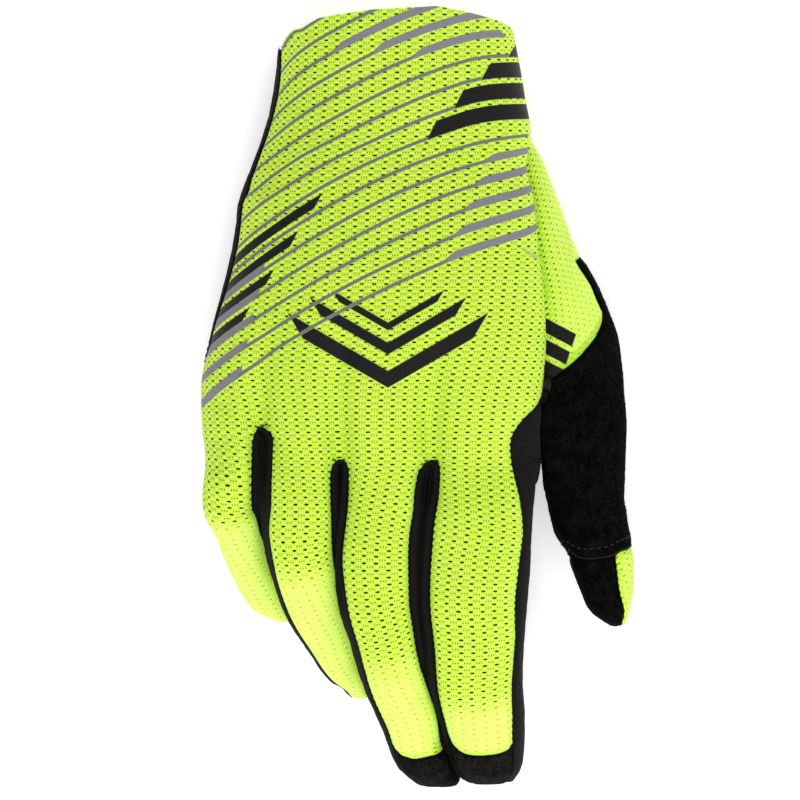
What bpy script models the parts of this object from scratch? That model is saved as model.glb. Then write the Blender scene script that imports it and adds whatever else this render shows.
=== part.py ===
"""A motocross glove for the right hand, filled as if worn and lying palm down.

The whole glove is worked out as one skin: a hand sleeve from the cuff to the crotches, and five
finger tubes that grow out of it. The skin is then parted along its seams into sewn pieces, and
each piece is thickened inwards and kept a seam gap clear of its neighbours. Metres, +Z up, the
fingers towards -Y, the thumb towards +X, and the floor at z = 0.
"""

import math

import bmesh
import bpy
import numpy as np

# Driving sizes, in metres
PALM_WIDTH = 0.0966
BACK_LENGTH = 0.126
KNUCKLE_HEIGHT = 0.047
FINGER_THICKNESS = 0.024
PINKY_REACH = 0.0538
RING_REACH = 0.0669
MIDDLE_REACH = 0.0916
INDEX_REACH = 0.0904
THUMB_REACH = 0.0462
MESH_WALL = 0.0012
SUEDE_WALL = 0.0012
GUSSET_WALL = 0.0010
SEAM_GAP = 0.0003
SEAM_BEVEL = 0.0005
SLOT_ROUND = 0.0042
CROTCH_BLEND = 0.016
TIP_ROUND = 0.009
VALLEY_DEPTH = 0.0050

# The share of a finger's reach past which its tip turns to lie square across the glove
TIP_TURN = 0.85
# How much narrower the closed end of a tip is than the finger just before it
TIP_CORNER = 0.22

# How squarely the sections of the hand and of the fingers are rounded: 2 is an ellipse
HAND_SQUARENESS = 2.3
SOLE_SQUARENESS = 3.0
FINGER_SQUARENESS = 2.25

# Faces across each lobe, across the upper index gusset and down each side wall
LOBE_FACES, GUSSET_FACES, SIDE_FACES = 5, 2, 3

# Sections of the hand. along is a share of BACK_LENGTH from the cuff's edge. left, fold and edge
# are shares of PALM_WIDTH: the little finger's side, the fold of the back panel beside the thumb,
# and the thumb's outer side. Heights are shares of KNUCKLE_HEIGHT. seam is how far the back
# panel's left seam lies above the side, in degrees round the section.
HAND_COLUMNS = ("along", "left", "fold", "edge", "top", "left_z", "fold_z", "edge_z",
                "sole", "thumb_sole", "lift", "seam")
HAND_ROWS = (
    (-0.067, 0.241, 0.896, 0.894, 0.894, 0.426, 0.468, 0.383, -0.040, -0.030, 0.000, 8),
    (0.000, 0.235, 0.901, 0.899, 0.894, 0.426, 0.468, 0.383, -0.040, -0.030, 0.000, 8),
    (0.089, 0.225, 0.916, 0.914, 0.883, 0.426, 0.468, 0.383, -0.040, -0.030, 0.000, 10),
    (0.189, 0.209, 0.939, 0.937, 0.872, 0.426, 0.479, 0.383, -0.040, -0.030, 0.000, 12),
    (0.278, 0.180, 0.957, 0.956, 0.872, 0.426, 0.511, 0.383, -0.040, -0.030, 0.000, 13),
    (0.344, 0.151, 0.945, 0.988, 0.894, 0.426, 0.553, 0.383, -0.040, -0.030, 0.006, 14),
    (0.422, 0.114, 0.965, 1.026, 0.926, 0.426, 0.596, 0.362, -0.040, -0.030, 0.017, 15),
    (0.511, 0.097, 0.977, 1.070, 0.957, 0.426, 0.617, 0.340, -0.040, -0.030, 0.026, 15),
    (0.622, 0.064, 0.994, 1.162, 0.989, 0.426, 0.617, 0.309, -0.030, -0.030, 0.038, 13),
    (0.733, 0.026, 1.001, 1.214, 1.000, 0.436, 0.596, 0.287, 0.005, -0.030, 0.051, 8),
    (0.844, 0.001, 0.991, 1.228, 0.979, 0.468, 0.574, 0.277, 0.096, -0.030, 0.060, -10),
    (0.933, 0.009, 0.988, 1.239, 0.947, 0.489, 0.553, 0.266, 0.181, -0.010, 0.064, -16),
    (1.000, 0.017, 0.988, 1.235, 0.915, 0.511, 0.532, 0.266, 0.255, 0.005, 0.064, -16),
    (1.089, 0.009, 0.988, 1.231, 0.883, 0.511, 0.511, 0.266, 0.319, 0.013, 0.064, -14),
)

# Sections of each finger. along is a share of its reach, across and half are shares of
# PALM_WIDTH, mid is a share of KNUCKLE_HEIGHT, thick of FINGER_THICKNESS. left and right are the
# back panel's seams, in degrees above the finger's sides.
FINGER_COLUMNS = ("along", "across", "half", "mid", "thick", "left", "right")
PINKY_ROWS = (
    (0.000, 0.093, 0.084, 0.617, 0.875, -16, 46),
    (0.208, 0.093, 0.083, 0.585, 0.854, -14, 48),
    (0.365, 0.091, 0.084, 0.521, 0.833, -12, 43),
    (0.521, 0.112, 0.070, 0.426, 0.792, -10, 27),
    (0.677, 0.139, 0.063, 0.326, 0.750, -8, -6),
    (0.833, 0.183, 0.060, 0.240, 0.708, -8, -8),
    (0.927, 0.213, 0.048, 0.198, 0.667, -8, -8),
    (1.000, 0.242, 0.027, 0.170, 0.625, -8, -8),
)
RING_ROWS = (
    (0.000, 0.294, 0.112, 0.660, 0.958, 43, 42),
    (0.167, 0.291, 0.110, 0.655, 0.938, 41, 37),
    (0.293, 0.291, 0.104, 0.638, 0.917, 28, 28),
    (0.418, 0.298, 0.098, 0.591, 0.896, 27, 21),
    (0.586, 0.324, 0.087, 0.468, 0.854, 33, 4),
    (0.753, 0.376, 0.073, 0.319, 0.812, 28, -4),
    (0.858, 0.410, 0.060, 0.234, 0.771, 31, -6),
    (0.937, 0.446, 0.041, 0.191, 0.729, 38, -8),
    (1.000, 0.461, 0.030, 0.170, 0.667, 37, -8),
)
MIDDLE_ROWS = (
    (0.000, 0.533, 0.122, 0.660, 0.979, 34, 31),
    (0.122, 0.530, 0.122, 0.666, 0.958, 35, 43),
    (0.214, 0.520, 0.118, 0.660, 0.938, 33, 43),
    (0.306, 0.513, 0.118, 0.649, 0.917, 32, 41),
    (0.428, 0.520, 0.113, 0.613, 0.896, 32, 42),
    (0.550, 0.543, 0.102, 0.543, 0.875, 32, 43),
    (0.673, 0.568, 0.095, 0.447, 0.833, 33, 32),
    (0.795, 0.607, 0.086, 0.336, 0.792, 35, 22),
    (0.872, 0.628, 0.080, 0.255, 0.750, 32, 28),
    (0.942, 0.659, 0.075, 0.191, 0.688, 35, 26),
    (1.000, 0.690, 0.066, 0.160, 0.625, 39, 24),
)
INDEX_ROWS = (
    (0.000, 0.820, 0.159, 0.660, 1.000, 41, 61),
    (0.121, 0.812, 0.153, 0.666, 0.979, 37, 39),
    (0.214, 0.802, 0.158, 0.664, 0.958, 38, 33),
    (0.307, 0.797, 0.159, 0.655, 0.938, 37, 38),
    (0.430, 0.793, 0.154, 0.628, 0.917, 35, 41),
    (0.554, 0.796, 0.143, 0.574, 0.896, 34, 38),
    (0.678, 0.804, 0.131, 0.489, 0.854, 26, 43),
    (0.802, 0.822, 0.118, 0.372, 0.812, 19, 50),
    (0.879, 0.830, 0.110, 0.289, 0.771, 20, 51),
    (0.950, 0.841, 0.094, 0.213, 0.708, 24, 51),
    (1.000, 0.842, 0.077, 0.174, 0.646, 29, 48),
)
THUMB_ROWS = (
    (0.000, 1.107, 0.126, 0.281, 1.042, 40, -20),
    (0.115, 1.112, 0.119, 0.277, 1.021, 36, -20),
    (0.236, 1.118, 0.112, 0.272, 1.000, 32, -20),
    (0.358, 1.129, 0.111, 0.264, 0.958, 30, -16),
    (0.479, 1.150, 0.098, 0.251, 0.917, 30, -4),
    (0.582, 1.163, 0.094, 0.238, 0.875, 30, 67),
    (0.721, 1.177, 0.083, 0.221, 0.833, 30, 68),
    (0.842, 1.187, 0.069, 0.204, 0.792, 30, 61),
    (0.933, 1.199, 0.046, 0.187, 0.750, 30, 48),
    (1.000, 1.212, 0.024, 0.174, 0.667, 30, 59),
)

# Each finger: its name, rows, reach, the share of BACK_LENGTH where it begins, whether its left
# and right sides start at a crotch, and where a border crosses its back, if one does: the share
# of the reach at the border's left end, its middle and its right end
FINGERS = (
    ("pinky", PINKY_ROWS, PINKY_REACH, 0.933, False, True, None),
    ("ring", RING_ROWS, RING_REACH, 1.000, True, True, None),
    ("middle", MIDDLE_ROWS, MIDDLE_REACH, 1.000, True, True, (0.824, 0.874, 0.888)),
    ("index", INDEX_ROWS, INDEX_REACH, 1.002, True, True, (0.812, 0.861, 0.841)),
    ("thumb", THUMB_ROWS, THUMB_REACH, 1.002, True, False, (0.475, 0.560, 0.556)),
)

# Lines that run down the hand, from the little finger's side to the thumb's, in shares of
# BACK_LENGTH: where each meets the cuff's edge, where the thumb side panel ends on it if that
# panel's border crosses it, and where it meets the crotches. Over the back they are the left seam,
# the three lines to the crotches, the index gusset's seam, the fold and the thumb's seam.
BACK_SEAMS = (
    (0.089, None, 0.956),
    (0.022, None, 0.927),
    (0.004, None, 1.000),
    (-0.004, None, 1.000),
    (0.050, 0.858, 1.002),
    (0.055, 0.835, 1.002),
    (0.062, 0.669, 1.022),
)
PALM_SEAMS = (
    (0.075, 0.700, 1.022),
    (0.080, 0.862, 1.033),
    (0.082, None, 1.070),
    (0.082, None, 1.070),
    (0.082, None, 1.010),
    (0.086, None, 0.978),
)
# The crotches between the fingers, as shares of the way from the left side to the fold
CROTCH_SHARES = (0.168, 0.3975, 0.6725)
PALM_SHARES = (0.140, 0.330, 0.560, 0.800)

# The shares of the way down the hand where the thumb side panel's border and corner lie
BORDER_SHARE = 0.845
CORNER_SHARE = 0.663
# The share down to which the back panel wraps round the cuff's thumb side, and by how many faces
CUFF_SHARE = 0.243
WRAP_FACES = 3
# Where the border of the index gusset leaves the fold, and its way inwards, as shares of
# BACK_LENGTH and of the way from the fold to the left side
GUSSET_PATH = ((0.862, 0.0), (0.880, 0.012), (0.905, 0.045), (0.925, 0.068), (0.952, 0.086),
               (0.980, 0.090), (1.002, 0.088), (1.090, 0.085))
# Where the seam between the thumb side panel and the thumb lies on the thumb's mound, in degrees
# from its top towards its outer side
MOUND_SEAM = ((0.000, 90), (0.440, 86), (0.530, 64), (0.560, 61), (0.610, 60), (0.669, 61),
              (0.740, 74), (0.820, 88), (0.900, 100), (1.100, 104))
# How far round from each side the columns of the palm and of a finger's underside begin, in degrees
PALM_START = 25.0
FINGER_PALM_START = 33.0
# Where the valleys between the knuckles begin, as a share of BACK_LENGTH, and how wide they are
VALLEY_START = 0.62
VALLEY_SHARE = 0.045
# How often the skin's normals are averaged before the walls are laid along them
NORMAL_ROUNDS = 2

HAND_SHARES = (0.0, 0.05, 0.12, 0.18, 0.243, 0.31, 0.38, 0.45, 0.52, 0.59, 0.663, 0.72, 0.785,
               0.845, 0.89, 0.93, 0.965, 1.0)
FINGER_SHARES = (0.0, 0.012, 0.035, 0.07, 0.12, 0.19, 0.27, 0.36, 0.45, 0.54, 0.63, 0.72, 0.80,
                 0.875, 0.925, 0.965, 1.0)
CAP_SHARE = 0.875
HEM_SHARE = 0.54

# Each piece: its wall, colour, roughness
PIECES = {
    "back_panel": (MESH_WALL, (0.58, 0.90, 0.03), 0.7),
    "thumb_side_panel": (MESH_WALL, (0.55, 0.88, 0.04), 0.7),
    "thumb_back": (MESH_WALL, (0.56, 0.86, 0.05), 0.7),
    "palm_panel": (SUEDE_WALL, (0.012, 0.012, 0.011), 0.85),
    "thumb_overlay": (SUEDE_WALL, (0.010, 0.010, 0.010), 0.85),
    "thumb_tip": (SUEDE_WALL, (0.014, 0.014, 0.013), 0.85),
    "fourchette_pinky_ring": (GUSSET_WALL, (0.018, 0.018, 0.016), 0.75),
    "fourchette_ring_middle": (GUSSET_WALL, (0.018, 0.018, 0.016), 0.75),
    "fourchette_middle_index": (GUSSET_WALL, (0.018, 0.018, 0.016), 0.75),
    "index_side_gusset": (GUSSET_WALL, (0.016, 0.016, 0.015), 0.75),
}
FOURCHETTES = ("fourchette_pinky_ring", "fourchette_ring_middle", "fourchette_middle_index",
               "index_side_gusset")


class Curve:
    """A smooth curve through the points of a table, with no overshoot between them."""

    def __init__(self, at, values):
        self.at = np.array(at, float)
        self.values = np.array(values, float)
        gaps = np.diff(self.at)
        steps = np.diff(self.values) / gaps
        self.slopes = np.zeros(len(self.at))
        self.slopes[0] = steps[0]
        self.slopes[-1] = steps[-1]
        for i in range(1, len(gaps)):
            if steps[i - 1] * steps[i] > 0:
                before = 2 * gaps[i] + gaps[i - 1]
                after = gaps[i] + 2 * gaps[i - 1]
                self.slopes[i] = (before + after) / (before / steps[i - 1] + after / steps[i])

    def __call__(self, at):
        at = np.asarray(at, float)
        inside = np.clip(at, self.at[0], self.at[-1])
        i = np.clip(np.searchsorted(self.at, inside, side="right") - 1, 0, len(self.at) - 2)
        gap = self.at[i + 1] - self.at[i]
        t = (inside - self.at[i]) / gap
        value = ((2 * t ** 3 - 3 * t ** 2 + 1) * self.values[i]
                 + (t ** 3 - 2 * t ** 2 + t) * gap * self.slopes[i]
                 + (3 * t ** 2 - 2 * t ** 3) * self.values[i + 1]
                 + (t ** 3 - t ** 2) * gap * self.slopes[i + 1])
        beyond = np.where(at < self.at[0], self.slopes[0], self.slopes[-1]) * (at - inside)
        return value + beyond


def table(rows, columns):
    """The columns of a table after its first, each as a curve along the first."""
    along = [row[0] for row in rows]
    return {name: Curve(along, [row[i + 1] for row in rows])
            for i, name in enumerate(columns[1:])}


def ease(t):
    t = np.clip(t, 0, 1)
    return t * t * (3 - 2 * t)


def rounded(angle, squareness):
    """Across and up shares of a point at an angle, in degrees, round a squared ellipse."""
    c = np.cos(np.radians(angle))
    s = np.sin(np.radians(angle))
    power = 2 / squareness
    return np.sign(c) * np.abs(c) ** power, np.sign(s) * np.abs(s) ** power


def angle_at(across, squareness):
    """The angle above the side, in degrees, where the squared ellipse has this across share."""
    across = np.clip(across, -1, 1)
    return np.degrees(np.arccos(np.sign(across) * np.abs(across) ** (squareness / 2)))


HAND = table(HAND_ROWS, HAND_COLUMNS)
GUSSET_LINE = Curve([p[0] for p in GUSSET_PATH], [p[1] for p in GUSSET_PATH])
MOUND_LINE = Curve([p[0] for p in MOUND_SEAM], [p[1] for p in MOUND_SEAM])


def hand_point(along, turn):
    """A point of the hand's skin. turn goes round the section in degrees: from -180 at the little
    finger's side over the back to 0 at the fold, on to 90 over the thumb's mound at the outer
    side, and on to 270 under the palm back to the little finger's side."""
    along, turn = np.broadcast_arrays(np.asarray(along, float), np.asarray(turn, float))
    turn = np.where(turn < -180, turn + 450, turn)
    left = HAND["left"](along) * PALM_WIDTH
    fold = HAND["fold"](along) * PALM_WIDTH
    edge = HAND["edge"](along) * PALM_WIDTH
    top, left_z, fold_z, edge_z, lift = (HAND[name](along) * KNUCKLE_HEIGHT
                                         for name in ("top", "left_z", "fold_z", "edge_z", "lift"))
    # over the back
    across, up = rounded(-turn, HAND_SQUARENESS)
    share = (across + 1) / 2
    back_x = left + (fold - left) * share
    base = left_z + (fold_z - left_z) * share
    near = ease((along - VALLEY_START) / (1 - VALLEY_START))
    valley = np.zeros(share.shape)
    for crotch in CROTCH_SHARES:
        valley = valley + np.exp(-(((share - crotch) / VALLEY_SHARE) ** 2))
    back_z = base + (top - base) * up - valley * near * VALLEY_DEPTH
    # over the thumb's mound
    mound = np.radians(np.clip(turn, 0, 90))
    mound_x = fold + (edge - fold) * np.sin(mound)
    mound_z = edge_z + (fold_z - edge_z) * np.cos(mound) + lift * np.sin(2 * mound)
    # under the palm
    across, up = rounded(450 - turn, SOLE_SQUARENESS)
    share = (across + 1) / 2
    palm_x = left + (edge - left) * share
    base = left_z + (edge_z - left_z) * share
    thumb_part = ease((palm_x - fold + 0.12 * PALM_WIDTH) / (0.2 * PALM_WIDTH))
    sole = (HAND["sole"](along) * (1 - thumb_part)
            + HAND["thumb_sole"](along) * thumb_part) * KNUCKLE_HEIGHT
    palm_z = base + (base - sole) * up
    x = np.where(turn <= 0, back_x, np.where(turn <= 90, mound_x, palm_x))
    z = np.where(turn <= 0, back_z, np.where(turn <= 90, mound_z, palm_z))
    return np.stack([x, -along * BACK_LENGTH, z], axis=-1)


def back_turns(along):
    """The turns of the seven seams over the back, at each of the shares along."""
    along = np.asarray(along, float)
    turns = [HAND["seam"](along) - 180]
    for share in CROTCH_SHARES:
        turns.append(-angle_at(2 * share - 1, HAND_SQUARENESS) + 0 * along)
    inwards = np.maximum(GUSSET_LINE(along), 0)
    turns.append(-angle_at(1 - 2 * inwards, HAND_SQUARENESS))
    turns.append(22 * (1 - ease((along - 0.80) / 0.08)))
    turns.append(MOUND_LINE(along))
    return turns


def palm_turns(along):
    """The turns of the palm's six lines, from the thumb's side to the little finger's side."""
    along = np.asarray(along, float)
    turns = [np.maximum(90 + PALM_START, MOUND_LINE(along) + 12)]
    for share in reversed(PALM_SHARES):
        turns.append(90 + angle_at(2 * share - 1, SOLE_SQUARENESS) + 0 * along)
    turns.append(270 - PALM_START + 0 * along)
    return turns


def finger_curves(finger):
    return table(finger[1], FINGER_COLUMNS)


def finger_point(finger, along, angle):
    """A point of a finger's tube: angle goes round in degrees, 0 at its thumb side, 90 on top."""
    reach, start = finger[2:4]
    curves = finger_curves(finger)
    along, angle = np.broadcast_arrays(np.asarray(along, float), np.asarray(angle, float))

    def centre(at):
        return np.stack([curves["across"](at) * PALM_WIDTH,
                         -start * BACK_LENGTH - at * reach,
                         curves["mid"](at) * KNUCKLE_HEIGHT], axis=-1)

    step = 0.01
    way = centre(along + step) - centre(along - step)
    way = way / np.linalg.norm(way, axis=-1, keepdims=True)
    side = np.cross(np.array([0.0, 0.0, 1.0]), way)
    side = side / np.linalg.norm(side, axis=-1, keepdims=True)
    squared = ease((along - TIP_TURN) / (1 - TIP_TURN))[..., None]
    side = side * (1 - squared) + np.array([1.0, 0.0, 0.0]) * squared
    side = side / np.linalg.norm(side, axis=-1, keepdims=True)
    upward = np.cross(way, side)
    upward = upward / np.linalg.norm(upward, axis=-1, keepdims=True)
    across, up = rounded(angle, FINGER_SQUARENESS)
    left_over = np.clip((along * reach - (reach - TIP_ROUND)) / TIP_ROUND, 0, 1)
    closing = np.sqrt(1 - left_over ** 2)
    half = curves["half"](along) * PALM_WIDTH * (1 - TIP_CORNER * (1 - closing))
    thick = curves["thick"](along) * FINGER_THICKNESS / 2 * closing
    return (centre(along) + (half * across)[..., None] * side + (thick * up)[..., None] * upward)


def spread(stops, counts):
    """Positions between neighbouring stops, split evenly into so many faces."""
    out = []
    for i, count in enumerate(counts):
        for j in range(count):
            out.append(stops[i] + (stops[i + 1] - stops[i]) * j / count)
    out.append(stops[-1])
    return np.stack(out, axis=-1)


def seam_along(seams, share):
    """How far along the hand each seam of a table is at a share of the rows' way down."""
    found = []
    for cuff, border, crotch in seams:
        if border is None:
            found.append(cuff + (crotch - cuff) * share)
        else:
            found.append(np.where(share < BORDER_SHARE,
                                  cuff + (border - cuff) * share / BORDER_SHARE,
                                  border + (crotch - border) * (share - BORDER_SHARE)
                                  / (1 - BORDER_SHARE)))
    return found


def hand_columns(detail):
    """Face counts between the lines round the hand: left side, back lobes, gusset, thumb lobe,
    right side, palm lobes."""
    lobe = LOBE_FACES * detail
    side = SIDE_FACES * detail
    return [side] + [lobe] * 4 + [GUSSET_FACES * detail, lobe, side] + [lobe] * 5


def hand_lines(share):
    """Along and turn of every line round the hand at one share of the rows' way down, starting
    and ending at the palm's left line."""
    back = seam_along(BACK_SEAMS, share)
    palm = seam_along(PALM_SEAMS, share)
    alongs = [palm[-1]] + back + palm
    turns = [palm_turns(palm[-1])[-1] - 450]
    turns += [back_turns(a)[i] for i, a in enumerate(back)]
    turns += [palm_turns(a)[i] for i, a in enumerate(palm)]
    return alongs, turns


def hand_patch(shares, detail):
    counts = hand_columns(detail)
    alongs, turns = hand_lines(np.asarray(shares, float))
    flat = [np.broadcast_to(a, (len(shares),)) for a in alongs]
    turned = [np.broadcast_to(t, (len(shares),)) for t in turns]
    return hand_point(spread(flat, counts), spread(turned, counts))


def hand_labels(shares, detail):
    """The name of the piece that each face of the hand's patch belongs to."""
    names = []
    for share in shares[:-1]:
        before = share < BORDER_SHARE - 1e-6
        corner = share < CORNER_SHARE - 1e-6
        kinds = (["palm_panel"] + ["back_panel"] * 4
                 + ["thumb_side_panel" if before else "index_side_gusset"]
                 + ["thumb_side_panel" if before else "thumb_overlay"]
                 + ["thumb_side_panel" if corner else "thumb_overlay"]
                 + ["palm_panel"] * 5)
        row = []
        counts = hand_columns(detail)
        for kind, count in zip(kinds, counts):
            row += [kind] * count
        if share < CUFF_SHARE - 1e-6:
            first = sum(counts[:5])
            last = first + counts[5] + WRAP_FACES * detail
            row[first:last] = ["back_panel"] * (last - first)
        names.append(row)
    return names


def tip_line(finger, share):
    """A point of the seam that closes a finger's tip, by its share from left to right."""
    ends = finger_point(finger, np.array([1.0, 1.0]), np.array([180.0, 0.0]))
    share = np.asarray(share, float)[..., None]
    return ends[0] * (1 - share) + ends[1] * share


def finger_patch(number, shares, detail):
    """The skin of one finger, in columns round it: left side, back, right side, palm."""
    finger = FINGERS[number]
    name = finger[0]
    reach, start, left_crotch, right_crotch, border = finger[2:]
    curves = finger_curves(finger)
    index = name == "index"
    lobe = LOBE_FACES * detail
    side = SIDE_FACES * detail
    gusset = GUSSET_FACES * detail if index else 0
    shares = np.asarray(shares, float)
    first = number if number < 4 else 5
    back_stops = [0.0, 1.0, 2.0] if index else [0.0, 1.0]
    palm_line = 4 - number
    back_start = [BACK_SEAMS[first + i][2] for i in range(len(back_stops))]
    palm_start = [PALM_SEAMS[palm_line][2], PALM_SEAMS[palm_line + 1][2]]
    counts = [side] + ([lobe, gusset] if index else [lobe]) + [side, lobe]

    def stations(starts):
        """Along shares of the finger for a line that starts at a share of the back's length."""
        begin = (starts - start) * BACK_LENGTH / reach
        return begin + (1 - begin) * shares

    back_q = [stations(a) for a in back_start]
    palm_q = [stations(a) for a in palm_start]
    lines_q = [palm_q[1]] + back_q + palm_q
    q = spread(lines_q, counts)
    if border:
        cut = HEM_SHARE if name == "thumb" else CAP_SHARE
        hat = np.clip(np.minimum((shares - cut + 0.16) / 0.16, (1 - shares) / (1 - cut)), 0, 1)
        across = np.linspace(0, 1, lobe + 1)
        wanted = border[0] + (border[2] - border[0]) * across
        wanted = wanted + (border[1] - (border[0] + border[2]) / 2) * 4 * across * (1 - across)
        at_cut = np.array([np.interp(cut, shares, q[:, side + j]) for j in range(lobe + 1)])
        shift = wanted - at_cut
        q[:, side:side + lobe + 1] += hat[:, None] * shift[None, :]
        left_fade = np.linspace(0, 1, side + 1)[:-1]
        q[:, :side] += hat[:, None] * shift[0] * left_fade[None, :]
        rest = side + gusset
        right_fade = np.linspace(1, 0, rest + 1)[1:]
        begin = side + lobe + 1
        q[:, begin:begin + rest] += hat[:, None] * shift[-1] * right_fade[None, :]
    # the tube
    left_angle = 180 - curves["left"](q[:, side])
    right_angle = curves["right"](q[:, side + lobe])
    lines_angle = [180 + FINGER_PALM_START + 0 * shares, left_angle, right_angle]
    if index:
        lines_angle.append(0 * shares)
    lines_angle += [np.minimum(lines_angle[-1] + 15, 0) - FINGER_PALM_START,
                    FINGER_PALM_START - 180 + 0 * shares]
    tube = finger_point(finger, q, spread(lines_angle, counts))
    # the hand's skin, carried on past the crotches
    start_q = spread([np.full(1, lines[0]) for lines in lines_q], counts)[0]
    beyond = (q - start_q[None, :]) * reach
    starts = np.array([palm_start[1]] + back_start + palm_start)
    start_along = spread([np.full(1, a) for a in starts], counts)[0]
    hand_along = start_along[None, :] + beyond / BACK_LENGTH
    stop_turns = []
    for r in range(len(shares)):
        back_t = [back_turns(back_start[i] + beyond[r, side] / BACK_LENGTH)[first + i]
                  for i in range(len(back_start))]
        palm_t = [palm_turns(palm_start[i] + beyond[r, -1] / BACK_LENGTH)[palm_line + i]
                  for i in range(2)]
        line = [palm_t[1] - (450 if number == 0 else 0)] + back_t + palm_t
        stop_turns.append([float(v) for v in line])
    stop_turns = np.array(stop_turns)
    turns = spread([stop_turns[:, i] for i in range(stop_turns.shape[1])], counts)
    carried = hand_point(hand_along, turns)
    back_end = side + lobe + gusset
    if left_crotch:
        fade = np.linspace(0, 1, side + 1)[None, :, None]
        carried[:, :side + 1] = carried[:, -1:] * (1 - fade) + carried[:, side:side + 1] * fade
    if right_crotch:
        fade = np.linspace(0, 1, side + 1)[None, :, None]
        right = slice(back_end, back_end + side + 1)
        carried[:, right] = (carried[:, back_end:back_end + 1] * (1 - fade)
                             + carried[:, back_end + side:back_end + side + 1] * fade)
    # how far each point has left the hand for the tube
    smooth = ease(beyond / CROTCH_BLEND)
    quick = np.sqrt(1 - (1 - np.clip(beyond / SLOT_ROUND, 0, 1)) ** 2)
    near_left = np.zeros(q.shape[1])
    near_right = np.zeros(q.shape[1])
    top = np.linspace(0, 1, lobe + gusset + 1)
    under = np.linspace(0, 1, lobe + 1)
    near_left[:side + 1] = 1
    near_left[side:back_end + 1] = (1 - top) ** 4
    near_left[back_end + side:] = under ** 4
    near_right[side:back_end + 1] = top ** 4
    near_right[back_end:back_end + side + 1] = 1
    near_right[back_end + side:] = (1 - under) ** 4
    edge = np.clip(near_left * left_crotch + near_right * right_crotch, 0, 1)[None, :]
    level = smooth * (1 - edge) + quick * edge
    weight = np.stack([level, level, smooth * (1 - 0.5 * edge) + 0.5 * level * edge], axis=-1)
    skin = carried * (1 - weight) + tube * weight
    # the closed tip
    closed = np.concatenate([np.zeros(side), np.linspace(0, 1, lobe + 1), np.ones(gusset),
                             np.ones(side), np.linspace(1, 0, lobe + 1)[1:]])
    skin[-1] = tip_line(finger, closed)
    return skin


def finger_labels(number, shares, detail):
    name = FINGERS[number][0]
    lobe = LOBE_FACES * detail
    side = SIDE_FACES * detail
    names = []
    for share in shares[:-1]:
        capped = share > CAP_SHARE - 1e-6
        hemmed = share > HEM_SHARE - 1e-6
        if name == "thumb":
            skin = "thumb_tip" if hemmed else "thumb_overlay"
            outer = "thumb_back" if hemmed else "thumb_overlay"
            under = "thumb_tip" if hemmed else "palm_panel"
            row = [skin] * side + [skin] * lobe + [outer] * side + [under] * lobe
        else:
            left = "palm_panel" if number == 0 else FOURCHETTES[number - 1]
            top = "palm_panel" if capped and number > 1 else "back_panel"
            row = [left] * side + [top] * lobe
            if name == "index":
                row += [FOURCHETTES[3]] * (GUSSET_FACES * detail)
            row += [FOURCHETTES[number]] * side + ["palm_panel"] * lobe
        names.append(row)
    return names


def denser(shares, detail):
    out = []
    for low, high in zip(shares[:-1], shares[1:]):
        out += [low + (high - low) * j / detail for j in range(detail)]
    return out + [shares[-1]]


def glove_skin(detail):
    """The whole skin as one mesh: its points, its faces, and the piece that each belongs to."""
    patches = [(hand_patch(denser(HAND_SHARES, detail), detail),
                hand_labels(denser(HAND_SHARES, detail), detail))]
    for number in range(len(FINGERS)):
        rows = denser(FINGER_SHARES, detail)
        patches.append((finger_patch(number, rows, detail), finger_labels(number, rows, detail)))
    body = bmesh.new()
    names = list(PIECES)
    for points, labels in patches:
        points = points.copy()
        points[..., 2] = np.maximum(points[..., 2], 0)
        rows, columns = points.shape[:2]
        verts = [[body.verts.new(points[r, c]) for c in range(columns)] for r in range(rows)]
        for r in range(rows - 1):
            for c in range(columns - 1):
                face = body.faces.new((verts[r][c], verts[r + 1][c],
                                       verts[r + 1][c + 1], verts[r][c + 1]))
                face.material_index = names.index(labels[r][c])
    bmesh.ops.remove_doubles(body, verts=body.verts, dist=1e-6)
    bmesh.ops.dissolve_degenerate(body, dist=1e-7, edges=body.edges)
    return body


def skin_arrays(body):
    body.verts.ensure_lookup_table()
    body.verts.index_update()
    body.normal_update()
    points = np.array([v.co[:] for v in body.verts])
    normals = np.array([v.normal[:] for v in body.verts])
    faces = [([v.index for v in f.verts], f.material_index) for f in body.faces]
    ends = np.array([[v.index for v in e.verts] for e in body.edges])
    for _ in range(NORMAL_ROUNDS):
        total = normals.copy()
        np.add.at(total, ends[:, 0], normals[ends[:, 1]])
        np.add.at(total, ends[:, 1], normals[ends[:, 0]])
        normals = total / np.linalg.norm(total, axis=1, keepdims=True)
    return points, normals, faces


def edge_counts(faces):
    """Each edge of some faces, as it runs round its face, that no other of them shares."""
    seen = {}
    for loop in faces:
        for a, b in zip(loop, loop[1:] + loop[:1]):
            seen.setdefault((min(a, b), max(a, b)), []).append((a, b))
    return [runs[0] for runs in seen.values() if len(runs) == 1]


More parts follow.
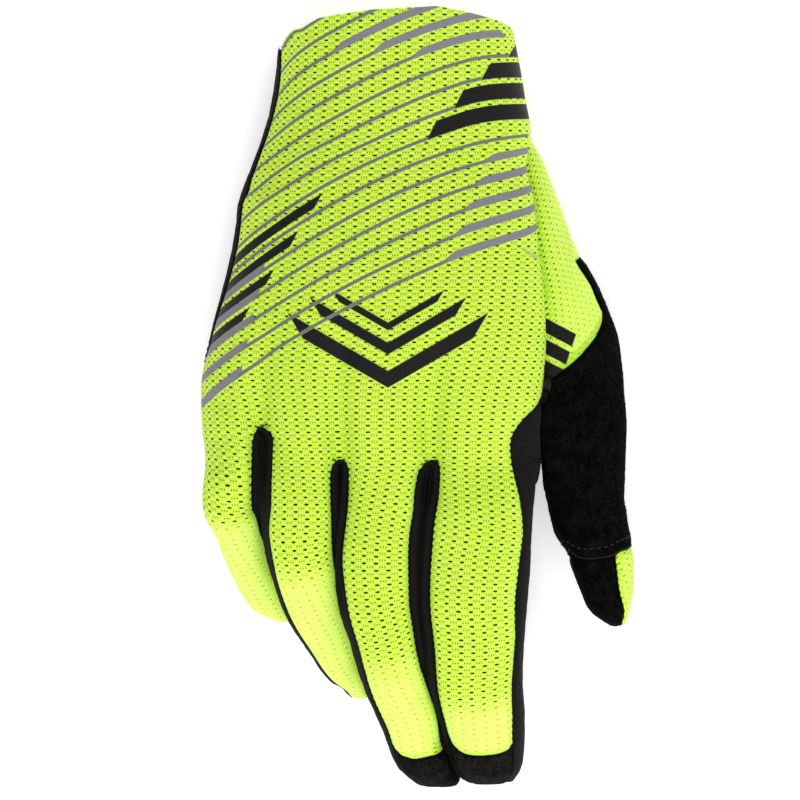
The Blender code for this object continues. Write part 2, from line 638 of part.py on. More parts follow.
def piece_mesh(name, points, normals, faces):
    """One piece: its part of the skin, drawn in by half the seam gap, and its inner wall."""
    wall = PIECES[name][0]
    outline = edge_counts(faces)
    inwards = {}
    for a, b in outline:
        run = points[b] - points[a]
        run = run / max(np.linalg.norm(run), 1e-12)
        for corner in (a, b):
            inward = np.cross(normals[corner], run)
            inwards.setdefault(corner, []).append(inward / max(np.linalg.norm(inward), 1e-12))
    used = sorted({v for loop in faces for v in loop})
    place = {v: i for i, v in enumerate(used)}
    outer = points[used].copy()
    inner = outer - normals[used] * wall
    for v, ways in inwards.items():
        total = np.sum(ways, axis=0)
        size = np.linalg.norm(total)
        if size > 1e-9:
            unit = total / size
            lean = max(float(np.dot(unit, ways[0])), 0.6)
            outer[place[v]] += unit * SEAM_GAP / 2 / lean
            inner[place[v]] += unit * (SEAM_GAP / 2 + SEAM_BEVEL) / lean
    outer[:, 2] = np.maximum(outer[:, 2], 0)
    count = len(used)
    solid = [[place[v] for v in loop] for loop in faces]
    solid += [[place[v] + count for v in reversed(loop)] for loop in faces]
    solid += [[place[b], place[a], place[a] + count, place[b] + count] for a, b in outline]
    return np.concatenate([outer, inner]), solid


def make_piece(name, points, faces):
    colour, roughness = PIECES[name][1:]
    mesh = bpy.data.meshes.new(name)
    mesh.from_pydata([tuple(p) for p in points], [], faces)
    mesh.shade_smooth()
    mesh.set_sharp_from_angle(angle=math.radians(50))
    material = bpy.data.materials.new(name)
    material.use_nodes = True
    shader = material.node_tree.nodes["Principled BSDF"]
    shader.inputs["Base Color"].default_value = (*colour, 1)
    shader.inputs["Roughness"].default_value = roughness
    shader.inputs["Metallic"].default_value = 0
    mesh.materials.append(material)
    piece = bpy.data.objects.new(name, mesh)
    bpy.context.scene.collection.objects.link(piece)
    return piece


def build_glove():
    body = glove_skin(1)
    bmesh.ops.recalc_face_normals(body, faces=body.faces)
    points, normals, faces = skin_arrays(body)
    body.free()
    middle = (points.min(axis=0) + points.max(axis=0)) / 2
    points = points - np.array([middle[0], middle[1], 0])
    for number, name in enumerate(PIECES):
        own = [loop for loop, label in faces if label == number]
        make_piece(name, *piece_mesh(name, points, normals, own))


def clear_scene():
    for thing in list(bpy.data.objects):
        bpy.data.objects.remove(thing, do_unlink=True)


clear_scene()
build_glove()
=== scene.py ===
"""The cloth, suede and prints of a right-hand motocross glove, laid palm down."""
import math

import bpy
import numpy as np
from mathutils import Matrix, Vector
from mathutils.bvhtree import BVHTree
from mathutils.kdtree import KDTree


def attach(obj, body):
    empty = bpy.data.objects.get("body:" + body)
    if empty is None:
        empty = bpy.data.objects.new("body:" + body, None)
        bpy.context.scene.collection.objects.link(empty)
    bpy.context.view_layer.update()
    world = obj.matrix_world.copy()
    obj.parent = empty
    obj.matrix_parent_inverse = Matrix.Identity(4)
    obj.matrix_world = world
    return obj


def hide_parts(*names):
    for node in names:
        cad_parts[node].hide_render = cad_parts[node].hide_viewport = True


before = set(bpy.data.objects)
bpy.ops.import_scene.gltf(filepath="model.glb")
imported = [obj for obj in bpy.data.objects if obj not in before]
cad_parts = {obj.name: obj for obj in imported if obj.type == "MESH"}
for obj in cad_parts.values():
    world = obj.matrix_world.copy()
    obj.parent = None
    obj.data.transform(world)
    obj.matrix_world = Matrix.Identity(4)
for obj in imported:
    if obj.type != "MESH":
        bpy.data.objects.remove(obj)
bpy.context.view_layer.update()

# Driving sizes, in metres: last the rounds of a slot's end and of a tip, how far past a crotch a
# finger blends into the hand, and how deep the valleys between the knuckles are
PALM_WIDTH = 0.0966
BACK_LENGTH = 0.126
KNUCKLE_HEIGHT = 0.047
FINGER_THICKNESS = 0.024
PINKY_REACH = 0.0538
RING_REACH = 0.0669
MIDDLE_REACH = 0.0916
INDEX_REACH = 0.0904
THUMB_REACH = 0.0462
SLOT_ROUND = 0.0042
TIP_ROUND = 0.009
CROTCH_BLEND = 0.016
VALLEY_DEPTH = 0.0050

# The share of a finger's reach past which its tip turns to lie square across the glove
TIP_TURN = 0.85
# How much narrower the closed end of a tip is than the finger just before it
TIP_CORNER = 0.22

# How squarely the sections of the hand and of the fingers are rounded: 2 is an ellipse
HAND_SQUARENESS = 2.3
SOLE_SQUARENESS = 3.0
FINGER_SQUARENESS = 2.25

# How many times finer than the solids the scene draws its faces, and the faces across each lobe,
# across the upper index gusset and down each side wall
DETAIL = 5
LOBE = 5 * DETAIL
GUSSET = 2 * DETAIL
SIDE = 3 * DETAIL
# Face counts between the lines round the hand: left side, back lobes, gusset, thumb lobe, right
# side, palm lobes
HAND_FACES = [SIDE] + [LOBE] * 4 + [GUSSET, LOBE, SIDE] + [LOBE] * 5
# How far columns crowd to the seams
CROWDING = 0.55

# Sections of the hand. along is a share of BACK_LENGTH from the cuff's edge. left, fold and edge
# are shares of PALM_WIDTH: the little finger's side, the fold of the back panel beside the thumb,
# and the thumb's outer side. Heights are shares of KNUCKLE_HEIGHT. seam is how far the back
# panel's left seam lies above the side, in degrees round the section.
HAND_COLUMNS = ("along", "left", "fold", "edge", "top", "left_z", "fold_z", "edge_z",
                "sole", "thumb_sole", "lift", "seam")
HAND_ROWS = (
    (-0.067, 0.241, 0.896, 0.894, 0.894, 0.426, 0.468, 0.383, -0.040, -0.030, 0.000, 8),
    (0.000, 0.235, 0.901, 0.899, 0.894, 0.426, 0.468, 0.383, -0.040, -0.030, 0.000, 8),
    (0.089, 0.225, 0.916, 0.914, 0.883, 0.426, 0.468, 0.383, -0.040, -0.030, 0.000, 10),
    (0.189, 0.209, 0.939, 0.937, 0.872, 0.426, 0.479, 0.383, -0.040, -0.030, 0.000, 12),
    (0.278, 0.180, 0.957, 0.956, 0.872, 0.426, 0.511, 0.383, -0.040, -0.030, 0.000, 13),
    (0.344, 0.151, 0.945, 0.998, 0.894, 0.426, 0.553, 0.383, -0.040, -0.030, 0.006, 14),
    (0.422, 0.114, 0.965, 1.036, 0.926, 0.426, 0.596, 0.362, -0.040, -0.030, 0.017, 15),
    (0.511, 0.097, 0.977, 1.078, 0.957, 0.426, 0.617, 0.340, -0.040, -0.030, 0.026, 15),
    (0.622, 0.064, 0.994, 1.162, 0.989, 0.426, 0.617, 0.309, -0.030, -0.030, 0.038, 13),
    (0.733, 0.026, 1.001, 1.214, 1.000, 0.436, 0.596, 0.287, 0.005, -0.030, 0.051, 8),
    (0.844, 0.001, 0.991, 1.228, 0.979, 0.468, 0.574, 0.277, 0.096, -0.030, 0.060, -10),
    (0.933, 0.009, 0.988, 1.239, 0.947, 0.489, 0.553, 0.266, 0.181, -0.010, 0.064, -16),
    (1.000, 0.017, 0.988, 1.235, 0.915, 0.511, 0.532, 0.266, 0.255, 0.005, 0.064, -16),
    (1.089, 0.009, 0.988, 1.231, 0.883, 0.511, 0.511, 0.266, 0.319, 0.013, 0.064, -14),
)

# Sections of each finger. along is a share of its reach, across and half are shares of
# PALM_WIDTH, mid is a share of KNUCKLE_HEIGHT, thick of FINGER_THICKNESS. left and right are the
# back panel's seams, in degrees above the finger's sides.
FINGER_COLUMNS = ("along", "across", "half", "mid", "thick", "left", "right")
PINKY_ROWS = (
    (0.000, 0.093, 0.084, 0.617, 0.875, -16, 46),
    (0.208, 0.093, 0.083, 0.585, 0.854, -14, 48),
    (0.365, 0.091, 0.084, 0.521, 0.833, -12, 43),
    (0.521, 0.112, 0.070, 0.426, 0.792, -10, 27),
    (0.677, 0.139, 0.063, 0.326, 0.750, -8, -6),
    (0.833, 0.183, 0.060, 0.240, 0.708, -8, -8),
    (0.927, 0.213, 0.048, 0.198, 0.667, -8, -8),
    (1.000, 0.242, 0.027, 0.170, 0.625, -8, -8),
)
RING_ROWS = (
    (0.000, 0.294, 0.112, 0.660, 0.958, 43, 42),
    (0.167, 0.291, 0.110, 0.655, 0.938, 41, 37),
    (0.293, 0.291, 0.104, 0.638, 0.917, 28, 28),
    (0.418, 0.298, 0.098, 0.591, 0.896, 27, 21),
    (0.586, 0.324, 0.087, 0.468, 0.854, 33, 4),
    (0.753, 0.376, 0.073, 0.319, 0.812, 28, -4),
    (0.858, 0.410, 0.060, 0.234, 0.771, 31, -6),
    (0.937, 0.446, 0.041, 0.191, 0.729, 38, -8),
    (1.000, 0.461, 0.030, 0.170, 0.667, 37, -8),
)
MIDDLE_ROWS = (
    (0.000, 0.533, 0.122, 0.660, 0.979, 34, 31),
    (0.122, 0.530, 0.122, 0.666, 0.958, 35, 43),
    (0.214, 0.520, 0.118, 0.660, 0.938, 33, 43),
    (0.306, 0.513, 0.118, 0.649, 0.917, 32, 41),
    (0.428, 0.520, 0.113, 0.613, 0.896, 32, 42),
    (0.550, 0.543, 0.102, 0.543, 0.875, 32, 43),
    (0.673, 0.568, 0.095, 0.447, 0.833, 33, 32),
    (0.795, 0.607, 0.086, 0.336, 0.792, 35, 22),
    (0.872, 0.628, 0.080, 0.255, 0.750, 32, 28),
    (0.942, 0.659, 0.075, 0.191, 0.688, 35, 26),
    (1.000, 0.690, 0.066, 0.160, 0.625, 39, 24),
)
INDEX_ROWS = (
    (0.000, 0.820, 0.159, 0.660, 1.000, 41, 61),
    (0.121, 0.812, 0.153, 0.666, 0.979, 37, 39),
    (0.214, 0.802, 0.158, 0.664, 0.958, 38, 33),
    (0.307, 0.797, 0.159, 0.655, 0.938, 37, 38),
    (0.430, 0.793, 0.154, 0.628, 0.917, 35, 41),
    (0.554, 0.796, 0.143, 0.574, 0.896, 34, 38),
    (0.678, 0.804, 0.131, 0.489, 0.854, 26, 43),
    (0.802, 0.822, 0.118, 0.372, 0.812, 19, 50),
    (0.879, 0.830, 0.110, 0.289, 0.771, 20, 51),
    (0.950, 0.841, 0.094, 0.213, 0.708, 24, 51),
    (1.000, 0.842, 0.077, 0.174, 0.646, 29, 48),
)
THUMB_ROWS = (
    (0.000, 1.107, 0.126, 0.281, 1.042, 40, -20),
    (0.115, 1.112, 0.119, 0.277, 1.021, 36, -20),
    (0.236, 1.118, 0.112, 0.272, 1.000, 32, -20),
    (0.358, 1.129, 0.111, 0.264, 0.958, 30, -16),
    (0.479, 1.150, 0.098, 0.251, 0.917, 30, -4),
    (0.582, 1.163, 0.094, 0.238, 0.875, 30, 67),
    (0.721, 1.177, 0.083, 0.221, 0.833, 30, 68),
    (0.842, 1.187, 0.069, 0.204, 0.792, 30, 61),
    (0.933, 1.199, 0.046, 0.187, 0.750, 30, 48),
    (1.000, 1.212, 0.024, 0.174, 0.667, 30, 59),
)

# Each finger: its name, rows, reach, the share of BACK_LENGTH where it begins, whether its left
# and right sides start at a crotch, and where a border crosses its back, if one does: the share
# of the reach at the border's left end, its middle and its right end
FINGERS = (
    ("pinky", PINKY_ROWS, PINKY_REACH, 0.933, False, True, None),
    ("ring", RING_ROWS, RING_REACH, 1.000, True, True, None),
    ("middle", MIDDLE_ROWS, MIDDLE_REACH, 1.000, True, True, (0.824, 0.874, 0.888)),
    ("index", INDEX_ROWS, INDEX_REACH, 1.002, True, True, (0.812, 0.861, 0.841)),
    ("thumb", THUMB_ROWS, THUMB_REACH, 1.002, True, False, (0.475, 0.560, 0.556)),
)

# Lines that run down the hand, from the little finger's side to the thumb's, in shares of
# BACK_LENGTH: where each meets the cuff's edge, where the thumb side panel ends on it if that
# panel's border crosses it, and where it meets the crotches. Over the back they are the left seam,
# the three lines to the crotches, the index gusset's seam, the fold and the thumb's seam.
BACK_SEAMS = (
    (0.089, None, 0.956),
    (0.022, None, 0.927),
    (0.004, None, 1.000),
    (-0.004, None, 1.000),
    (0.050, 0.858, 1.002),
    (0.055, 0.835, 1.002),
    (0.062, 0.669, 1.022),
)
PALM_SEAMS = (
    (0.075, 0.650, 1.022),
    (0.080, 0.862, 1.033),
    (0.082, None, 1.070),
    (0.082, None, 1.070),
    (0.082, None, 1.010),
    (0.086, None, 0.978),
)
# The crotches between the fingers and the palm's lines under them, as shares of the way across
CROTCH_SHARES = (0.168, 0.3975, 0.6725)
PALM_SHARES = (0.140, 0.330, 0.560, 0.800)

# The shares of the way down the hand where the thumb side panel's border and corner lie
BORDER_SHARE = 0.845
CORNER_SHARE = 0.6855
# How far down the hand the back panel wraps round the cuff's thumb side, and by how many faces
CUFF_ALONG = 0.283
WRAP_FACES = 3 * DETAIL
# Where the border of the index gusset leaves the fold, and its way inwards, as shares of
# BACK_LENGTH and of the way from the fold to the left side
GUSSET_PATH = ((0.862, 0.0), (0.880, 0.012), (0.905, 0.045), (0.925, 0.068), (0.952, 0.086),
               (0.980, 0.090), (1.002, 0.088), (1.090, 0.085))
# Where the seam between the thumb side panel and the thumb lies on the thumb's mound, in degrees
# from its top towards its outer side
MOUND_SEAM = ((0.000, 90), (0.440, 86), (0.540, 59), (0.565, 59), (0.610, 65), (0.669, 68),
              (0.740, 78), (0.820, 88), (0.900, 100), (1.100, 104))
# How far round from each side the columns of the palm and of a finger's underside begin, and how far
# they stay past the mound's seam and past the back's seam on a finger, in degrees
PALM_START = 25.0
FINGER_PALM_START = 33.0
PALM_CLEAR = 12
FINGER_CLEAR = 15
# How far the back panel wraps over the thumb's mound: degrees, the share of BACK_LENGTH where they
# begin to fade, and over how much
FOLD_WRAPS = ((10, 0.62, 0.24), (25, 0.0, 0.30))
# How far past the fold the outer side has to stand for a round mound, in metres
MOUND_ROUND = 0.006
# How far inside the fold the thumb's sole begins, and over how much, as shares of PALM_WIDTH
THUMB_SOLE = (0.12, 0.2)
# Where the valleys between the knuckles begin, as a share of BACK_LENGTH, and how wide they are
VALLEY_START = 0.62
VALLEY_SHARE = 0.045
# The rows of the solids' faces down the hand and down a finger, as shares of the way, and the
# shares where the caps and the thumb's hem begin
HAND_SHARES = (0.0, 0.05, 0.12, 0.18, 0.243, 0.31, 0.38, 0.45, 0.52, 0.59, 0.663, 0.72, 0.785,
               0.845, 0.89, 0.93, 0.965, 1.0)
FINGER_SHARES = (0.0, 0.012, 0.035, 0.07, 0.12, 0.19, 0.27, 0.36, 0.45, 0.54, 0.63, 0.72, 0.80,
                 0.875, 0.925, 0.965, 1.0)
CAP_SHARE = 0.875
HEM_SHARE = 0.54
# Over how much of its reach a finger's rows bend towards the border across its back
BORDER_BEND = 0.16


class Curve:
    """A smooth curve through the points of a table, with no overshoot between them."""

    def __init__(self, at, values):
        self.at = np.array(at, float)
        self.values = np.array(values, float)
        gaps = np.diff(self.at)
        steps = np.diff(self.values) / gaps
        self.slopes = np.zeros(len(self.at))
        self.slopes[0] = steps[0]
        self.slopes[-1] = steps[-1]
        for i in range(1, len(gaps)):
            if steps[i - 1] * steps[i] > 0:
                before = 2 * gaps[i] + gaps[i - 1]
                after = gaps[i] + 2 * gaps[i - 1]
                self.slopes[i] = (before + after) / (before / steps[i - 1] + after / steps[i])

    def __call__(self, at):
        at = np.asarray(at, float)
        inside = np.clip(at, self.at[0], self.at[-1])
        i = np.clip(np.searchsorted(self.at, inside, side="right") - 1, 0, len(self.at) - 2)
        gap = self.at[i + 1] - self.at[i]
        t = (inside - self.at[i]) / gap
        value = ((2 * t ** 3 - 3 * t ** 2 + 1) * self.values[i]
                 + (t ** 3 - 2 * t ** 2 + t) * gap * self.slopes[i]
                 + (3 * t ** 2 - 2 * t ** 3) * self.values[i + 1]
                 + (t ** 3 - t ** 2) * gap * self.slopes[i + 1])
        beyond = np.where(at < self.at[0], self.slopes[0], self.slopes[-1]) * (at - inside)
        return value + beyond


def table(rows, columns):
    """The columns of a table after its first, each as a curve along the first."""
    along = [row[0] for row in rows]
    return {name: Curve(along, [row[i + 1] for row in rows])
            for i, name in enumerate(columns[1:])}


def ease(t):
    t = np.clip(t, 0, 1)
    return t * t * (3 - 2 * t)


def rounded(angle, squareness):
    """Across and up shares of a point at an angle, in degrees, round a squared ellipse."""
    c = np.cos(np.radians(angle))
    s = np.sin(np.radians(angle))
    power = 2 / squareness
    return np.sign(c) * np.abs(c) ** power, np.sign(s) * np.abs(s) ** power


def angle_at(across, squareness):
    """The angle above the side, in degrees, where the squared ellipse has this across share."""
    across = np.clip(across, -1, 1)
    return np.degrees(np.arccos(np.sign(across) * np.abs(across) ** (squareness / 2)))


HAND = table(HAND_ROWS, HAND_COLUMNS)
GUSSET_LINE = Curve([p[0] for p in GUSSET_PATH], [p[1] for p in GUSSET_PATH])
MOUND_LINE = Curve([p[0] for p in MOUND_SEAM], [p[1] for p in MOUND_SEAM])


def hand_point(along, turn):
    """A point of the hand's skin. turn goes round the section in degrees: from -180 at the little
    finger's side over the back to 0 at the fold, on to 90 over the thumb's mound at the outer
    side, and on to 270 under the palm back to the little finger's side."""
    along, turn = np.broadcast_arrays(np.asarray(along, float), np.asarray(turn, float))
    turn = np.where(turn < -180, turn + 450, turn)
    left = HAND["left"](along) * PALM_WIDTH
    fold = HAND["fold"](along) * PALM_WIDTH
    edge = HAND["edge"](along) * PALM_WIDTH
    top, left_z, fold_z, edge_z, lift = (HAND[name](along) * KNUCKLE_HEIGHT
                                         for name in ("top", "left_z", "fold_z", "edge_z", "lift"))
    # over the back
    across, up = rounded(-turn, HAND_SQUARENESS)
    share = (across + 1) / 2
    back_x = left + (fold - left) * share
    base = left_z + (fold_z - left_z) * share
    near = ease((along - VALLEY_START) / (1 - VALLEY_START))
    valley = np.zeros(share.shape)
    for crotch in CROTCH_SHARES:
        valley = valley + np.exp(-(((share - crotch) / VALLEY_SHARE) ** 2))
    back_z = base + (top - base) * up - valley * near * VALLEY_DEPTH
    # over the thumb's mound
    mound = np.radians(np.clip(turn, 0, 90))
    mound_x = fold + (edge - fold) * np.sin(mound)
    bulge = ease((edge - fold) / MOUND_ROUND)
    fall = np.cos(mound) * bulge + (1 - mound / (math.pi / 2)) * (1 - bulge)
    mound_z = edge_z + (fold_z - edge_z) * fall + lift * np.sin(2 * mound)
    # under the palm
    across, up = rounded(450 - turn, SOLE_SQUARENESS)
    share = (across + 1) / 2
    palm_x = left + (edge - left) * share
    base = left_z + (edge_z - left_z) * share
    thumb_part = ease((palm_x - fold + THUMB_SOLE[0] * PALM_WIDTH) / (THUMB_SOLE[1] * PALM_WIDTH))
    sole = (HAND["sole"](along) * (1 - thumb_part)
            + HAND["thumb_sole"](along) * thumb_part) * KNUCKLE_HEIGHT
    palm_z = base + (base - sole) * up
    x = np.where(turn <= 0, back_x, np.where(turn <= 90, mound_x, palm_x))
    z = np.where(turn <= 0, back_z, np.where(turn <= 90, mound_z, palm_z))
    return np.stack([x, -along * BACK_LENGTH, z], axis=-1)


def back_turns(along):
    """The turns of the seven seams over the back, at each of the shares along."""
    along = np.asarray(along, float)
    turns = [HAND["seam"](along) - 180]
    for share in CROTCH_SHARES:
        turns.append(-angle_at(2 * share - 1, HAND_SQUARENESS) + 0 * along)
    inwards = np.maximum(GUSSET_LINE(along), 0)
    turns.append(-angle_at(1 - 2 * inwards, HAND_SQUARENESS))
    turns.append(sum(wrap * (1 - ease((along - begin) / over)) for wrap, begin, over in FOLD_WRAPS))
    turns.append(MOUND_LINE(along))
    return turns


def palm_turns(along):
    """The turns of the palm's six lines, from the thumb's side to the little finger's side."""
    along = np.asarray(along, float)
    turns = [np.maximum(90 + PALM_START, MOUND_LINE(along) + PALM_CLEAR)]
    for share in reversed(PALM_SHARES):
        turns.append(90 + angle_at(2 * share - 1, SOLE_SQUARENESS) + 0 * along)
    turns.append(270 - PALM_START + 0 * along)
    return turns


def finger_curves(finger):
    return table(finger[1], FINGER_COLUMNS)


def finger_point(finger, along, angle):
    """A point of a finger's tube: angle goes round in degrees, 0 at its thumb side, 90 on top."""
    reach, start = finger[2:4]
    curves = finger_curves(finger)
    along, angle = np.broadcast_arrays(np.asarray(along, float), np.asarray(angle, float))

    def centre(at):
        return np.stack([curves["across"](at) * PALM_WIDTH,
                         -start * BACK_LENGTH - at * reach,
                         curves["mid"](at) * KNUCKLE_HEIGHT], axis=-1)

    step = 0.01
    way = centre(along + step) - centre(along - step)
    way = way / np.linalg.norm(way, axis=-1, keepdims=True)
    side = np.cross(np.array([0.0, 0.0, 1.0]), way)
    side = side / np.linalg.norm(side, axis=-1, keepdims=True)
    squared = ease((along - TIP_TURN) / (1 - TIP_TURN))[..., None]
    side = side * (1 - squared) + np.array([1.0, 0.0, 0.0]) * squared
    side = side / np.linalg.norm(side, axis=-1, keepdims=True)
    upward = np.cross(way, side)
    upward = upward / np.linalg.norm(upward, axis=-1, keepdims=True)
    across, up = rounded(angle, FINGER_SQUARENESS)
    left_over = np.clip((along * reach - (reach - TIP_ROUND)) / TIP_ROUND, 0, 1)
    closing = np.sqrt(1 - left_over ** 2)
    half = curves["half"](along) * PALM_WIDTH * (1 - TIP_CORNER * (1 - closing))
    thick = curves["thick"](along) * FINGER_THICKNESS / 2 * closing
    return (centre(along) + (half * across)[..., None] * side + (thick * up)[..., None] * upward)


def crowded(count):
    """Shares of the way across so many faces that crowd to both ends."""
    t = np.arange(count + 1) / count
    return t - CROWDING * np.sin(2 * math.pi * t) / (2 * math.pi)


def spread(stops, counts):
    """Positions between neighbouring stops, split into so many faces that crowd to the stops."""
    out = []
    for i, count in enumerate(counts):
        for t in crowded(count)[:-1]:
            out.append(stops[i] + (stops[i + 1] - stops[i]) * t)
    out.append(stops[-1])
    return np.stack(out, axis=-1)


def seam_along(seams, share):
    """How far along the hand each seam of a table is at a share of the rows' way down."""
    found = []
    for cuff, border, crotch in seams:
        if border is None:
            found.append(cuff + (crotch - cuff) * share)
        else:
            found.append(np.where(share < BORDER_SHARE,
                                  cuff + (border - cuff) * share / BORDER_SHARE,
                                  border + (crotch - border) * (share - BORDER_SHARE)
                                  / (1 - BORDER_SHARE)))
    return found


def hand_lines(share):
    """Along and turn of every line round the hand at one share of the rows' way down, starting
    and ending at the palm's left line."""
    back = seam_along(BACK_SEAMS, share)
    palm = seam_along(PALM_SEAMS, share)
    alongs = [palm[-1]] + back + palm
    turns = [palm_turns(palm[-1])[-1] - 450]
    turns += [back_turns(a)[i] for i, a in enumerate(back)]
    turns += [palm_turns(a)[i] for i, a in enumerate(palm)]
    return alongs, turns


def hand_patch(shares):
    """The skin of the hand, in columns round it, and how far along it each point lies."""
    alongs, turns = hand_lines(np.asarray(shares, float))
    flat = [np.broadcast_to(a, (len(shares),)) for a in alongs]
    turned = [np.broadcast_to(t, (len(shares),)) for t in turns]
    along = spread(flat, HAND_FACES)
    return hand_point(along, spread(turned, HAND_FACES)), along


def hand_labels(shares, along):
    """The name of the piece that each face of the hand's patch belongs to."""
    names = []
    for share, before_cuff in zip(shares[:-1], (along[:-1] + along[1:]) / 2 < CUFF_ALONG):
        before = share < BORDER_SHARE - 1e-6
        corner = share < CORNER_SHARE - 1e-6
        kinds = (["palm_panel"] + ["back_panel"] * 4
                 + ["thumb_side_panel" if before else "index_side_gusset"]
                 + ["thumb_side_panel" if before else "thumb_overlay"]
                 + ["thumb_side_panel" if corner else "thumb_overlay"]
                 + ["palm_panel"] * 5)
        row = []
        for kind, count in zip(kinds, HAND_FACES):
            row += [kind] * count
        first = sum(HAND_FACES[:5])
        for place in range(first, first + GUSSET + WRAP_FACES):
            if before_cuff[place]:
                row[place] = "back_panel"
        names.append(row)
    return names


def tip_line(finger, share):
    """A point of the seam that closes a finger's tip, by its share from left to right."""
    ends = finger_point(finger, np.array([1.0, 1.0]), np.array([180.0, 0.0]))
    share = np.asarray(share, float)[..., None]
    return ends[0] * (1 - share) + ends[1] * share


def bend_to_border(q, shares, finger, gusset):
    """Shifts a finger's rows so that one of them lies on the border across its back, and the
    others less and less."""
    left, middle, right = finger[6]
    cut = HEM_SHARE if finger[0] == "thumb" else CAP_SHARE
    hat = np.minimum((shares - cut + BORDER_BEND) / BORDER_BEND, (1 - shares) / (1 - cut))
    hat = np.clip(hat, 0, 1)
    across = np.linspace(0, 1, LOBE + 1)
    wanted = left + (right - left) * across
    wanted = wanted + (middle - (left + right) / 2) * 4 * across * (1 - across)
    at_cut = np.array([np.interp(cut, shares, q[:, SIDE + j]) for j in range(LOBE + 1)])
    shift = wanted - at_cut
    rest = SIDE + gusset
    shift = np.concatenate([shift[0] * np.linspace(0, 1, SIDE + 1)[:-1], shift,
                            shift[-1] * np.linspace(1, 0, rest + 1)[1:]])
    q[:, :len(shift)] += hat[:, None] * shift[None, :]


def tube_weight(beyond, gusset, left_crotch, right_crotch):
    """How far each point, so many metres beyond the hand, has left its skin for a finger's tube:
    one weight each for across, along and up."""
    back_end = SIDE + LOBE + gusset
    smooth = ease(beyond / CROTCH_BLEND)
    quick = np.sqrt(1 - (1 - np.clip(beyond / SLOT_ROUND, 0, 1)) ** 2)
    near_left = np.zeros(beyond.shape[1])
    near_right = np.zeros(beyond.shape[1])
    top = crowded(LOBE) * LOBE / (LOBE + gusset)
    if gusset:
        top = np.concatenate([top, (LOBE + gusset * crowded(gusset)[1:]) / (LOBE + gusset)])
    under = crowded(LOBE)
    near_left[:SIDE + 1] = 1
    near_left[SIDE:back_end + 1] = (1 - top) ** 3
    near_left[back_end + SIDE:] = under ** 4
    near_right[SIDE:back_end + 1] = top ** 3
    near_right[back_end:back_end + SIDE + 1] = 1
    near_right[back_end + SIDE:] = (1 - under) ** 4
    edge = np.clip(near_left * left_crotch + near_right * right_crotch, 0, 1)[None, :]
    level = smooth * (1 - edge) + quick * edge
    return np.stack([level, level, smooth * (1 - 0.5 * edge) + 0.5 * level * edge], axis=-1)


def finger_patch(number, shares):
    """The skin of one finger, in columns round it: left side, back, right side, palm."""
    finger = FINGERS[number]
    name, _, reach, start, left_crotch, right_crotch, border = finger
    curves = finger_curves(finger)
    index = name == "index"
    gusset = GUSSET if index else 0
    shares = np.asarray(shares, float)
    first = number if number < 4 else 5
    palm_line = 4 - number
    back_start = [BACK_SEAMS[first + i][2] for i in range(3 if index else 2)]
    palm_start = [PALM_SEAMS[palm_line][2], PALM_SEAMS[palm_line + 1][2]]
    starts = [palm_start[1]] + back_start + palm_start
    counts = [SIDE] + ([LOBE, gusset] if index else [LOBE]) + [SIDE, LOBE]
    # how far down the finger each point lies, as a share of its reach
    lines_q = []
    for line in starts:
        begin = (line - start) * BACK_LENGTH / reach
        lines_q.append(begin + (1 - begin) * shares)
    q = spread(lines_q, counts)
    if border:
        bend_to_border(q, shares, finger, gusset)
    # the tube
    left_angle = 180 - curves["left"](q[:, SIDE])
    right_angle = curves["right"](q[:, SIDE + LOBE])
    lines_angle = [180 + FINGER_PALM_START + 0 * shares, left_angle, right_angle]
    if index:
        lines_angle.append(0 * shares)
    lines_angle += [np.minimum(lines_angle[-1] + FINGER_CLEAR, 0) - FINGER_PALM_START,
                    FINGER_PALM_START - 180 + 0 * shares]
    tube = finger_point(finger, q, spread(lines_angle, counts))
    # the hand's skin, carried on past the crotches
    start_q = spread([np.full(1, lines[0]) for lines in lines_q], counts)[0]
    beyond = (q - start_q[None, :]) * reach
    start_along = spread([np.full(1, line) for line in starts], counts)[0]
    back = [back_turns(line + beyond[:, SIDE] / BACK_LENGTH)[first + i]
            for i, line in enumerate(back_start)]
    palm = [palm_turns(line + beyond[:, -1] / BACK_LENGTH)[palm_line + i]
            for i, line in enumerate(palm_start)]
    turned = [palm[1] - (450 if number == 0 else 0)] + back + palm
    carried = hand_point(start_along[None, :] + beyond / BACK_LENGTH, spread(turned, counts))
    back_end = SIDE + LOBE + gusset
    fade = np.linspace(0, 1, SIDE + 1)[None, :, None]
    if left_crotch:
        carried[:, :SIDE + 1] = carried[:, -1:] * (1 - fade) + carried[:, SIDE:SIDE + 1] * fade
    if right_crotch:
        right = slice(back_end, back_end + SIDE + 1)
        carried[:, right] = (carried[:, back_end:back_end + 1] * (1 - fade)
                             + carried[:, back_end + SIDE:back_end + SIDE + 1] * fade)
    weight = tube_weight(beyond, gusset, left_crotch, right_crotch)
    skin = carried * (1 - weight) + tube * weight
    # the closed tip
    closed = np.concatenate([np.zeros(SIDE), np.linspace(0, 1, LOBE + 1), np.ones(gusset),
                             np.ones(SIDE), np.linspace(1, 0, LOBE + 1)[1:]])
    skin[-1] = tip_line(finger, closed)
    return skin, q


